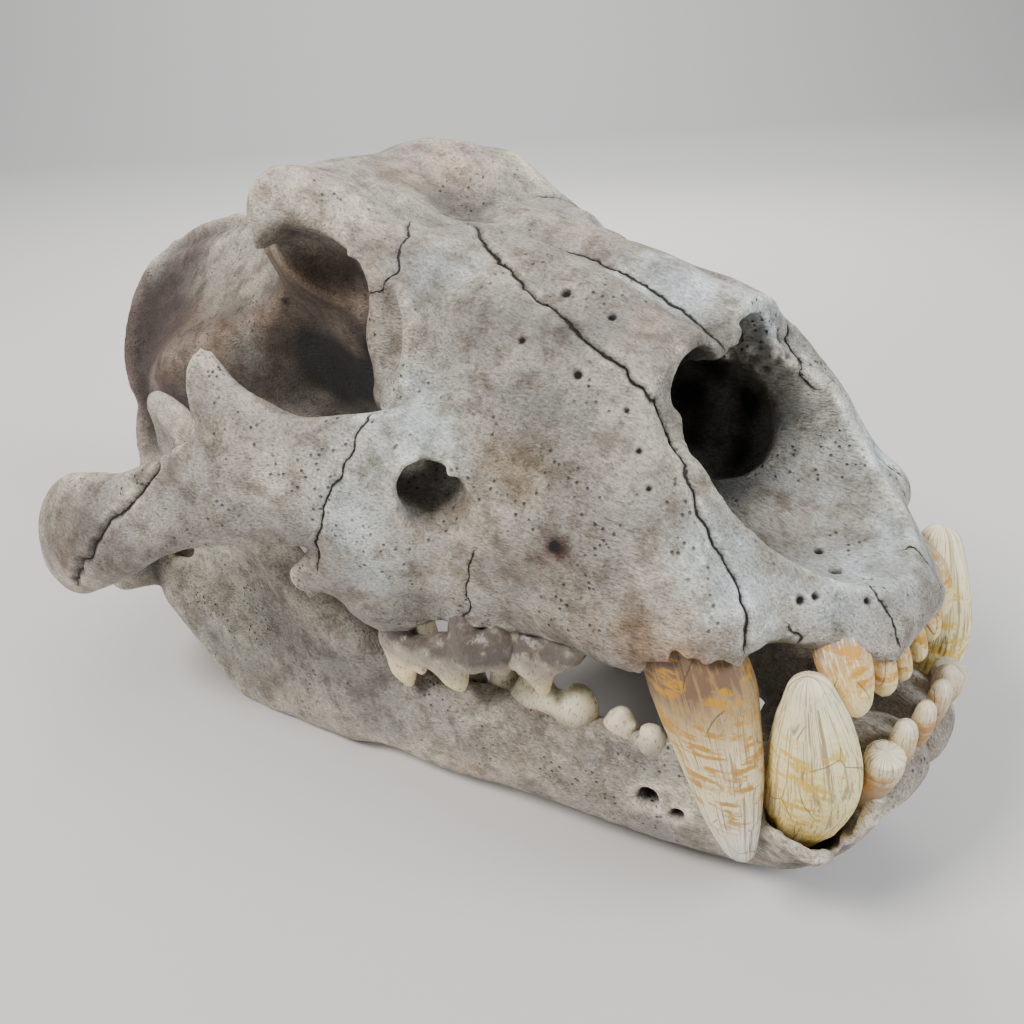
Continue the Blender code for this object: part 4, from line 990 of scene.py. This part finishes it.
upper_canine_look = enamel_look("upper_canine_enamel", [
    (0.0, (0.12, 0.07, 0.04)), (0.3, (0.17, 0.1, 0.055)), (0.4, (0.5, 0.36, 0.17)),
    (0.5, (0.80, 0.66, 0.38)), (0.66, (0.9, 0.78, 0.48)), (0.85, (0.92, 0.88, 0.74)),
    (1.0, (0.7, 0.67, 0.6))], (0.33, 0.2, 0.07), (0.50, 0.25, 0.01))
for side, name in SIDES:
    tooth = swept_tooth("upper_canine_" + name + "_enamel", UPPER_CANINE, (0, 1, 0.1), 0.76, 4.0, 0.9,
                        upper_canine_look, side, 4.0)
    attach(tooth, "root")
    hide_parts("upper_canine_" + name)

# ------------------------------------------------------------------ upper incisors
# Three on each side in a shallow arch.  The outer one is a small canine, brown with age; the inner two are
# amber pegs with worn edges.
UPPER_INCISORS = {
    "outer": [((320, 19, 16), 5.5), ((326, 22.5, 9), 6.8), ((330.2, 25, 2), 7.2), ((332.8, 26, -4), 5.9),
              ((334.2, 26.4, -8.5), 3.9), ((334.8, 26.5, -11.3), 2)],
    "middle": [((327, 13.5, 10), 3.6), ((333.5, 14, 0), 3.9), ((335.8, 14.4, -6.5), 3.8),
               ((336, 14.6, -11.8), 2.5)],
    "inner": [((329, 4.8, 6), 2.7), ((335, 5, -3), 2.9), ((336.8, 5.1, -8.5), 2.8), ((337, 5.1, -12.8), 2.0)],
}
UPPER_ROW_SHIFT = 1.2
incisor_look = enamel_look("upper_incisor_enamel", [
    (0.0, (0.14, 0.10, 0.07)), (0.42, (0.34, 0.26, 0.18)), (0.56, (0.66, 0.42, 0.16)),
    (0.8, (0.94, 0.70, 0.28)), (1.0, (0.88, 0.74, 0.46))], (0.90, 0.80, 0.54), (0.56, 0.27, 0.01))
for side, name in SIDES:
    for place, sizes in UPPER_INCISORS.items():
        sizes = [((x, y + side * UPPER_ROW_SHIFT, z), radius) for (x, y, z), radius in sizes]
        tooth = swept_tooth("upper_incisor_" + place + "_" + name, sizes, (1, 0, 0.2), 0.86, 2.6, 0.6,
                            incisor_look, side, 3.2)
        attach(tooth, "root")
        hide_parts("cranium")

# ------------------------------------------------------------------ upper cheek teeth
# The carnassial blade and the premolar before it: grey at the neck, tan towards the worn cusps, with a
# swollen collar where the crown meets the roots.
TOOTH_GRAIN = 0.6
FULL_FOLD = 0.4    # a place this far below the enamel round it counts as a fold


def cheek_tooth(name, added, cuts, finish, neck, tip, side, node):
    """Tooth of rods and balls; its crown is shaded from the neck height to the tip height."""
    shapes = [rod(*part) if isinstance(part[0], list) else ball(*part) for part in added]
    low = np.min([shape[0] for shape in shapes], axis=0) - 3
    high = np.max([shape[1] for shape in shapes], axis=0) + 3
    clay = Clay(low, high, TOOTH_GRAIN)
    for shape in shapes:
        clay.add(shape, 2.6)
    for part in cuts:
        clay.cut(rod(*part), 1.2)
    corners, faces = clay.skin()
    triangles = in_triangles(corners, faces)
    corners = eased(corners, triangles, 3)
    normals = corner_normals(corners, triangles)
    wear = 0.16 * unevenness(corners, 2.6, 31) + 0.07 * unevenness(corners, 1.1, 32)
    corners = corners + normals * wear[:, None]
    crown = np.clip((corners[:, 2] - neck) / (tip - neck), 0, 1)
    corners = corners * (1, side, 1)
    triangles = triangles[:, ::side]
    made = piece(name, corners, triangles)
    store(made, "along", crown)
    inward = eased(corners, triangles, 5, (0.5, 0.5)) - corners
    hollow = (inward * corner_normals(corners, triangles)).sum(1)
    store(made, "hollow", np.clip(hollow / FULL_FOLD, -1, 1))
    made.data.materials.append(finish)
    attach(made, "root")
    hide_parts(node)


CHEEK_CLOUD = (0.62, 0.54, 0.40, 1)
CHEEK_DIRT = (0.10, 0.07, 0.05, 1)
FOLD_DIRT_AND_SHADE = (0.06, 0.05, 0.042, 1)
RUBBED = (0.72, 0.66, 0.52, 1)    # ridges of a cheek tooth, rubbed pale


def cheek_tooth_look(name, neck, crown, tip):
    """Enamel of a cheek tooth: neck colour to tip colour, cloudy, with dirt and painted shade darkening the
    folds.
    """
    made, wire, shader = look(name)
    spot = millimetres(wire)
    cloud = wire.noise(spot, 0.22, 4, 0.6)
    fine = wire.noise(spot, 1.1, 3, 0.6, (1, 1, 0.5))
    place = wire.stored("along") + 0.5 * (cloud - 0.5)
    colour = wire.node("ShaderNodeValToRGB", {"stops": [(0.0, neck), (0.45, crown), (0.9, tip)]},
                       {0: place}, "Color")
    colour = colour.mixed(cloud.held(0.55, 0.68) * 0.3, CHEEK_CLOUD)
    colour = colour.mixed((1 - fine.held(0.32, 0.45)) * 0.6, CHEEK_DIRT)
    hollow = wire.stored("hollow")
    # dirt and painted shade darken the folds
    colour = colour.mixed(hollow.held(0.15, 0.9) * 0.8, FOLD_DIRT_AND_SHADE)
    colour = colour.mixed((0 - hollow).held(0.2, 0.9) * 0.35, RUBBED)
    bump = wire.node("ShaderNodeBump", {}, {"Strength": 0.5, "Distance": 0.0005, "Height": fine}, "Normal")
    wire.tree.links.new(colour.socket, shader.inputs["Base Color"])
    wire.tree.links.new((0.14 + 0.35 * fine).socket, shader.inputs["Roughness"])
    wire.tree.links.new(bump.socket, shader.inputs["Normal"])
    return made


OUTWARD = (0, 1, 0)
UPPER_CARNASSIAL = [
    ([(207, 63.5, 6), (206, 66, -10)], (5.2, 6), OUTWARD, 0.9),
    ([(229, 59, 8), (233, 61, -1), (235, 62, -8)], (3.4, 5, 7), OUTWARD, 0.8),
    ([(243, 55, 4), (243, 57, -6)], (4.5, 5), OUTWARD, 0.9),
    ([(204, 66.5, -12), (214, 66.5, -12.5), (226, 64.5, -11.5), (238, 60.5, -8), (245, 57, -5)],
     (4.4, 4.8, 5, 5, 4), OUTWARD, 0.85),
    ([(205.5, 66.5, -13), (206, 67, -22), (206.5, 66.5, -28)], (6, 5, 2.2), (0.3, 1, 0), 0.6),
    ([(213, 66.3, -14), (214, 66, -20)], (4.6, 2.4), (0.3, 1, 0), 0.6),
    ([(226, 64.5, -11), (228, 64, -18), (229, 63.5, -22)], (7, 5, 2.4), (0.3, 1, 0), 0.7),
    ([(240, 59.5, -8), (243, 58, -12)], (5.4, 3.6), (0.3, 1, 0), 0.8),
]
UPPER_CARNASSIAL_NOTCHES = [([(219, 58, -22), (218.5, 76, -20)], (2.2, 2.2)),
                            ([(220, 80, -2), (221, 64, 2)], (3.4, 3.0))]
UPPER_PREMOLAR = [
    ([(247, 52, 4), (247.5, 53, -7)], (4.5, 5), OUTWARD, 0.9),
    ([(260, 50, 6), (259.5, 51, -4)], (4.5, 4.6), OUTWARD, 0.9),
    ([(243.5, 54, -9), (253, 54, -10.5), (265, 51.5, -4)], (4, 4.6, 3.8), OUTWARD, 0.85),
    ([(253.5, 53, -7), (253.8, 52.8, -14), (253.6, 52.4, -20)], (6.6, 4.4, 2.2), (0.25, 1, 0), 0.8),
    ((266.5, 50.8, -1.5), (4.4, 4, 3.6)),
    ((243.6, 54, -10), (4.6, 4.4, 4.4)),
]
UPPER_PREMOLAR_NOTCHES = [([(254, 66, 1), (255, 54, 3)], (2.6, 2.6))]
upper_cheek_look = cheek_tooth_look("upper_cheek_enamel", (0.10, 0.082, 0.07), (0.50, 0.42, 0.31),
                                    (0.90, 0.72, 0.40))
for side, name in SIDES:
    cheek_tooth("upper_carnassial_" + name, UPPER_CARNASSIAL, UPPER_CARNASSIAL_NOTCHES, upper_cheek_look,
                -8, -24, side, "cranium")
    cheek_tooth("upper_premolar_" + name, UPPER_PREMOLAR, UPPER_PREMOLAR_NOTCHES, upper_cheek_look,
                -5, -20, side, "cranium")

# ------------------------------------------------------------------ lower jaw
# Two bones that meet at the chin, each with a deep body, an upright branch under the cheek arch and a hinge
# that lies crosswise.  The canine has shrunk loose in its wide socket.
JAW_GRAIN = 1.4
HALF_GAP = 0.17    # half of the gap between the two bones at the chin


def jaw_clay():
    clay = Clay((44, -10, -96), (352, 107, 66), JAW_GRAIN)
    # body of the jaw, deeper to the front
    clay.add(rod([(160, 66, -45), (185, 63, -47), (206, 58, -49.5), (240, 49, -49.5), (262, 44, -50.5),
                  (284, 36, -54), (300, 28, -56)], (19.5, 19, 19.5, 19.5, 19, 19.5, 20),
                 flat=(0.25, 1, 0), squash=0.42), 8)
    # chin
    clay.add(rod([(334, 10, -33), (327, 10, -46), (318, 9, -60), (306, 8, -71), (290, 6, -67), (276, 5, -57)],
                 (10, 12.5, 14.5, 14.5, 11.5, 7), squash=0.9), 8)
    clay.add(rod([(330, 14, -32), (328, 18, -41), (318, 18, -58)], (9, 10.5, 12.5)), 6)
    # bone round the canine
    clay.add(rod([(326.5, 32, -38), (320.5, 29.5, -48.5), (310, 25, -60), (294, 22, -64)],
                 (12.4, 12.6, 12, 11)), 6)
    clay.add(rod([(337, 6, -36), (335.5, 15, -36.5), (332, 22, -39)], (8.8, 9, 9.4)), 5)
    # upright branch with its strengthened front edge
    clay.add(rod([(158, 69, -36), (134, 72, -16), (116, 74, 10), (104, 74, 34), (95, 74, 47)],
                 (30, 30, 23, 16, 8), flat=(0.12, 1, 0), squash=0.25), 8)
    clay.add(rod([(186, 64, -28), (160, 69, -8), (140, 72, 16), (122, 74, 36), (106, 74, 50), (95, 74, 54)],
                 (7, 7, 7, 6, 5, 4)), 8)
    # lower edge, angle and back edge
    clay.add(rod([(168, 67, -52.5), (140, 73, -56), (122, 77, -57), (108, 79, -56), (99, 80, -47),
                  (92, 82, -34), (82, 83, -25)], (11, 10, 9, 8, 7, 8, 8), flat=(0, 1, 0.2), squash=0.75), 8)
    clay.add(rod([(120, 75, -24), (98, 79, -22), (78, 82, -18)], (18, 14, 9), squash=0.5), 8)
    clay.add(rod([(160, 69, -44), (128, 74, -42), (112, 78, -40)], (20, 19, 15), squash=0.36), 6)
    # hinge of the jaw
    clay.add(rod([(69, 64, -14), (66, 81, -16), (68, 97, -14)], (6, 8, 6)), 5)
    # hollow for the chewing muscle
    clay.cut(ball((142, 94, -18), (38, 17, 24), 30), 8)
    # wide socket of the canine, its rim lower on the outer side
    clay.cut(rod([(306, 54, -18), (326, 54, -18), (340, 50, -9)], (25, 25, 22)), 2)
    clay.cut(rod([(312.5, 25.5, -63), (319.5, 28.5, -51), (325.5, 31.5, -41), (329.5, 34, -30),
                  (333, 37, -16)], (7, 9.8, 12.2, 13.5, 15), (0.2, 1, 0), 0.9), 1)
    # the two holes in the outer side
    clay.cut(rod([(284, 48, -51), (280, 34, -52)], (3.6, 2.6)), 1)
    clay.cut(rod([(291.5, 45, -55.5), (289, 34, -56)], (2.2, 1.6)), 1)
    # the two jaw bones stop just short of the middle
    clay.field = np.maximum(clay.field, HALF_GAP - clay.axes[1][:, None])
    return clay


# near-white, for painted light
PAINTED_LIGHT_WHITE = (0.80, 0.79, 0.70)
# Stains of the jaw, with painted light on its upright branch and painted shade in the canine's socket:
# colour, centre, reach and strength.
JAW_STAINS_LIGHT_AND_SHADE = [
    # The near-white blot at (104, -82, -22) is painted light, brightening the upright branch where the cheek
    # arch shades it.
    (PAINTED_LIGHT_WHITE, (104, -82, -22), (44, 18, 40), 1.0), (DUSK, (172, -66, -30), (34, 16, 22), 0.7),
    (SLATE, (196, -60, -24), (30, 14, 12), 0.6), (CHALK, (236, -56, -50), (44, 12, 14), 0.5),
    (CHALK, (200, -66, -60), (60, 14, 10), 0.6), (PINK, (222, -60.6, -61), (12, 9, 8), 0.9),
    (UMBER, (250, -48, -34), (40, 14, 8), 0.5), (CHALK, (292, -42, -50), (30, 14, 12), 0.45),
    (PINK, (322, -20, -64), (34, 34, 20), 0.6), (CHALK, (334, -30, -42), (20, 16, 14), 0.7),
    # The near-black blot at (320, -28, -56) is painted shade in the wide socket of the lower canine.
    (BLACK_STAIN_AND_SHADE, (320, -28, -56), (15, 12, 16), 1.4), (OCHRE, (130, -80, -52), (26, 12, 10), 0.4),
    # CHALK at (112, -82, -20) is partly chalky stain and partly painted light on the upright branch.
    (UMBER, (342, 0, -34), (10, 30, 8), 0.4), (CHALK, (112, -82, -20), (36, 14, 24), 0.85),
    (DUSK, (168, -72, -30), (26, 14, 14), 0.6), (TAN, (244, -54, -50), (36, 12, 14), 0.35),
    (DUSK, (290, -44, -38), (22, 12, 8), 0.45), (CHALK, (338, -24, -44), (14, 14, 14), 0.5),
]
JAW_STAINS_LIGHT_AND_SHADE += [(colour, (x, -y, z), reach, strength) for colour, (x, y, z), reach, strength in JAW_STAINS_LIGHT_AND_SHADE]
corners, faces = jaw_clay().skin()
triangles = in_triangles(corners, faces)
corners = eased(corners, triangles, 3)
jaw_look = bone_look("jaw_bone", (1.5, 1.46, 1.37), (0.5, 0.45, 0.39))
for side, name in SIDES:
    jaw = bone_piece("jaw_bone_" + name, corners * (1, side, 1), triangles[:, ::side], [], [], JAW_STAINS_LIGHT_AND_SHADE,
                     50 + side,
                     [((326, 34 * side, -44), (26, 26, 14), 0.9), ((256, 44 * side, -40), (30, 12, 10), 0.7)])
    # nothing sinks into the floor
    places = np.zeros(len(jaw.data.vertices) * 3)
    jaw.data.vertices.foreach_get("co", places)
    places[2::3] = np.maximum(places[2::3], 0)
    jaw.data.vertices.foreach_set("co", places)
    jaw.data.materials.append(jaw_look)
    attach(jaw, "root")
    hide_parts("mandible_" + name)

# ------------------------------------------------------------------ lower canines
# Shorter and stouter than the upper ones, swollen just over the socket, with a broken blunt tip.
LOWER_CANINE = [((309, 23.5, -70), 5), ((316.5, 26.5, -57), 7.8), ((321.2, 29, -46), 10),
                ((325, 31.4, -36.7), 11.4), ((327.5, 33.5, -26.5), 11.7), ((328.4, 35.2, -16.5), 10.6),
                ((328.6, 36.6, -7), 8.4), ((328.6, 37.8, 0.5), 6), ((328.4, 38.6, 6.5), 3.8)]
lower_canine_look = enamel_look("lower_canine_enamel", [
    (0.0, (0.18, 0.13, 0.09)), (0.2, (0.44, 0.31, 0.12)), (0.36, (0.80, 0.61, 0.22)),
    (0.6, (0.92, 0.79, 0.36)), (0.85, (0.94, 0.86, 0.54)), (1.0, (0.88, 0.8, 0.56))],
    (0.3, 0.2, 0.09), (0.72, 0.46, 0.05))
LEFT_CANINE_SHIFT = (1, 1.5, 5)
for side, name in SIDES:
    sizes = LOWER_CANINE
    if side > 0:
        sizes = [(np.add(place, LEFT_CANINE_SHIFT), radius * 1.06) for place, radius in sizes]
    tooth = swept_tooth("lower_canine_" + name + "_enamel", sizes, (0.2, 1, 0), 0.86, 4.5, 1.1,
                        lower_canine_look, side, 3.4)
    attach(tooth, "root")
    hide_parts("lower_canine_" + name)

# ------------------------------------------------------------------ lower incisors
# Three small pegs on each side behind the chin, worn flat on top.
LOWER_INCISORS = {
    "outer": [((334, 20, -42), 3.6), ((338.2, 21, -32), 4.6), ((340.6, 21.6, -25), 5.2),
              ((341.4, 22, -20), 5)],
    "middle": [((337, 13, -38), 2.8), ((340.5, 13.4, -29), 3.4), ((342.4, 13.8, -21), 3.4),
               ((343, 14, -15.5), 2.2)],
    "inner": [((338, 5, -36), 2.4), ((341.8, 5.1, -28), 2.9), ((344, 5.2, -20), 3),
              ((344.6, 5.3, -14.5), 1.9)],
}
LOWER_ROW_SHIFT = -1.2
lower_incisor_look = enamel_look("lower_incisor_enamel", [
    (0.0, (0.18, 0.12, 0.08)), (0.45, (0.34, 0.22, 0.11)), (0.66, (0.62, 0.44, 0.22)),
    (0.85, (0.8, 0.68, 0.46)), (1.0, (0.84, 0.76, 0.58))], (0.34, 0.25, 0.16), (0.46, 0.22, 0.05))
for side, name in SIDES:
    for place, sizes in LOWER_INCISORS.items():
        sizes = [((x, y + side * LOWER_ROW_SHIFT, z), radius) for (x, y, z), radius in sizes]
        tooth = swept_tooth("lower_incisor_" + place + "_" + name, sizes, (1, 0, 0.2), 0.9, 2.6, 0.6,
                            lower_incisor_look, side, 2.0)
        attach(tooth, "root")
        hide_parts("mandible_" + name)

# ------------------------------------------------------------------ lower cheek teeth
# Two premolars and the carnassial, which bites inside the upper one; rounded and ivory coloured.
LENGTHWISE = (0.25, 1, 0)
LOWER_CARNASSIAL = [
    ([(198, 53, -34), (203, 52, -14)], (9, 3), LENGTHWISE, 0.6),
    ([(214, 50, -34), (214, 49, -13)], (9, 3), LENGTHWISE, 0.6),
]
LOWER_CARNASSIAL_NOTCHES = [([(208, 40, -17), (208.5, 62, -16)], (2.2, 2.2))]
LOWER_PREMOLAR_BACK = [
    ([(229, 46, -44), (229.5, 46, -30), (230, 45.5, -24.5)], (5.4, 4.6, 3), LENGTHWISE, 0.85),
    ([(241, 45, -44), (242, 45, -33), (243, 45, -27)], (8, 7.4, 5), LENGTHWISE, 0.8),
    ([(256, 43, -44), (258.5, 43.6, -31), (259.5, 44, -27)], (6, 6.4, 5.2), (0.1, 1, 0), 0.9),
    ([(229, 46.5, -34), (243, 46, -32), (258, 44.5, -31)], (4.6, 5.2, 4.6), LENGTHWISE, 0.9),
]
LOWER_PREMOLAR_BACK_NOTCHES = [([(250.5, 34, -24), (251, 56, -27)], (1.6, 1.6)),
                               ([(235, 34, -25), (235.5, 56, -29)], (1.4, 1.4))]
LOWER_PREMOLAR_FRONT = [
    ([(262, 41.5, -46), (262.5, 41, -37)], (4.4, 3.4), LENGTHWISE, 0.85),
    ([(270, 40, -46), (271, 39.8, -34), (272, 39.6, -29.5)], (6.4, 4.8, 2.8), LENGTHWISE, 0.85),
    ([(280.5, 38.5, -45), (281, 38.2, -35), (281.5, 38, -33)], (4.8, 3.8, 3), LENGTHWISE, 0.9),
    ([(262, 41.5, -39.5), (271, 40, -36.5), (282, 38.3, -36.5)], (3.4, 4, 3.4), LENGTHWISE, 0.9),
]
LOWER_PREMOLAR_FRONT_NOTCHES = [([(266, 30, -34), (266.5, 52, -36)], (1.2, 1.2)),
                                ([(277, 30, -33), (277.5, 52, -34)], (1.2, 1.2))]
lower_cheek_look = cheek_tooth_look("lower_cheek_enamel", (0.12, 0.10, 0.08), (0.42, 0.37, 0.27),
                                    (0.78, 0.71, 0.50))
for side, name in SIDES:
    for place, shapes, notches, neck, tip in (
            ("carnassial_", LOWER_CARNASSIAL, LOWER_CARNASSIAL_NOTCHES, -34, -16),
            ("premolar_back_", LOWER_PREMOLAR_BACK, LOWER_PREMOLAR_BACK_NOTCHES, -38, -25),
            ("premolar_front_", LOWER_PREMOLAR_FRONT, LOWER_PREMOLAR_FRONT_NOTCHES, -40, -30)):
        cheek_tooth("lower_" + place + name, shapes, notches, lower_cheek_look, neck, tip,
                    side, "mandible_" + name)

# ------------------------------------------------------------------ floor, light and camera
# A plain pale floor under soft studio light, seen from above the right side of the muzzle.
AROUND = np.radians(47.06)            # how far the camera stands round to the side, above and tipped over
ABOVE = np.radians(24.24)
ROLL = np.radians(-7.98)
EYE = (402.8, -193.6, 130.0)          # place of the camera on the skull's own axes, in millimetres
PICTURE_LENGTH = 850.0                # its focal length and the picture's width, in pixels
PICTURE_WIDTH = 1024
SENSOR = 36
BACK_EDGE = 2.2                       # the floor runs back this far, then sweeps up into a wall
SWEEP = 1.4
WALL = 4.0
WIDTH = 7.0
turn = np.linspace(0, np.pi / 2, 40)
profile = [(-WIDTH, 0), *zip(BACK_EDGE + SWEEP * np.sin(turn), SWEEP * (1 - np.cos(turn))),
           (BACK_EDGE + SWEEP, WALL)]
away = Vector((-np.sin(AROUND), np.cos(AROUND), 0))
across = Vector((np.cos(AROUND), np.sin(AROUND), 0))
rows = [[away * far + across * side + Vector((0, 0, high)) for side in (-WIDTH, WIDTH)]
        for far, high in profile]
floor_mesh = bpy.data.meshes.new("floor")
floor_mesh.from_pydata([place for row in rows for place in row], [],
                       [(2 * i, 2 * i + 1, 2 * i + 3, 2 * i + 2) for i in range(len(rows) - 1)])
floor_mesh.shade_smooth()
floor = bpy.data.objects.new("floor", floor_mesh)
bpy.context.scene.collection.objects.link(floor)
floor_look, wire, shader = look("floor")
shader.inputs["Base Color"].default_value = (0.60, 0.59, 0.58, 1)
shader.inputs["Roughness"].default_value = 0.9
floor_mesh.materials.append(floor_look)

world = bpy.data.worlds.new("studio")
world.use_nodes = True
world.node_tree.nodes["Background"].inputs["Color"].default_value = (0.86, 0.88, 0.92, 1)
world.node_tree.nodes["Background"].inputs["Strength"].default_value = 0.3
bpy.context.scene.world = world


def lamp(name, place, aim, size, power, colour):
    light = bpy.data.lights.new(name, "AREA")
    light.size = size
    light.energy = power
    light.color = colour
    made = bpy.data.objects.new(name, light)
    made.location = place
    made.rotation_euler = (Vector(aim) - Vector(place)).to_track_quat("-Z", "Y").to_euler()
    bpy.context.scene.collection.objects.link(made)


lamp("key", (-0.15, -0.75, 1.0), (0.02, 0, 0.1), 0.35, 19, (1.0, 0.96, 0.91))
lamp("window", (1.0, 0.25, 0.75), (0.08, 0, 0.1), 0.5, 12, (0.90, 0.95, 1.0))
lamp("behind", (-0.5, 0.8, 0.8), (-0.05, 0, 0.12), 0.5, 8, (1.0, 0.95, 0.9))
lamp("backdrop", away * 0.9 + Vector((0, 0, 2.2)), away * 3.4 + Vector((0, 0, 1.0)), 1.6, 90, (1.0, 1.0, 1.0))

back = np.array([np.sin(AROUND) * np.cos(ABOVE), -np.cos(AROUND) * np.cos(ABOVE), np.sin(ABOVE)])
right = np.array([np.cos(AROUND), np.sin(AROUND), 0.0])
up = np.cross(back, right)
right, up = np.cos(ROLL) * right + np.sin(ROLL) * up, np.cos(ROLL) * up - np.sin(ROLL) * right
turned = POSE.to_3x3() * 1000
columns = [turned @ Vector(axis) for axis in (right, up, back)]
eye = bpy.data.cameras.new("camera")
eye.sensor_width = SENSOR
eye.lens = PICTURE_LENGTH / PICTURE_WIDTH * SENSOR
eye.clip_start = 0.01
camera = bpy.data.objects.new("camera", eye)
camera.matrix_world = Matrix(columns).transposed().to_4x4()
camera.location = POSE @ Vector(EYE)
bpy.context.scene.collection.objects.link(camera)
bpy.context.scene.camera = camera
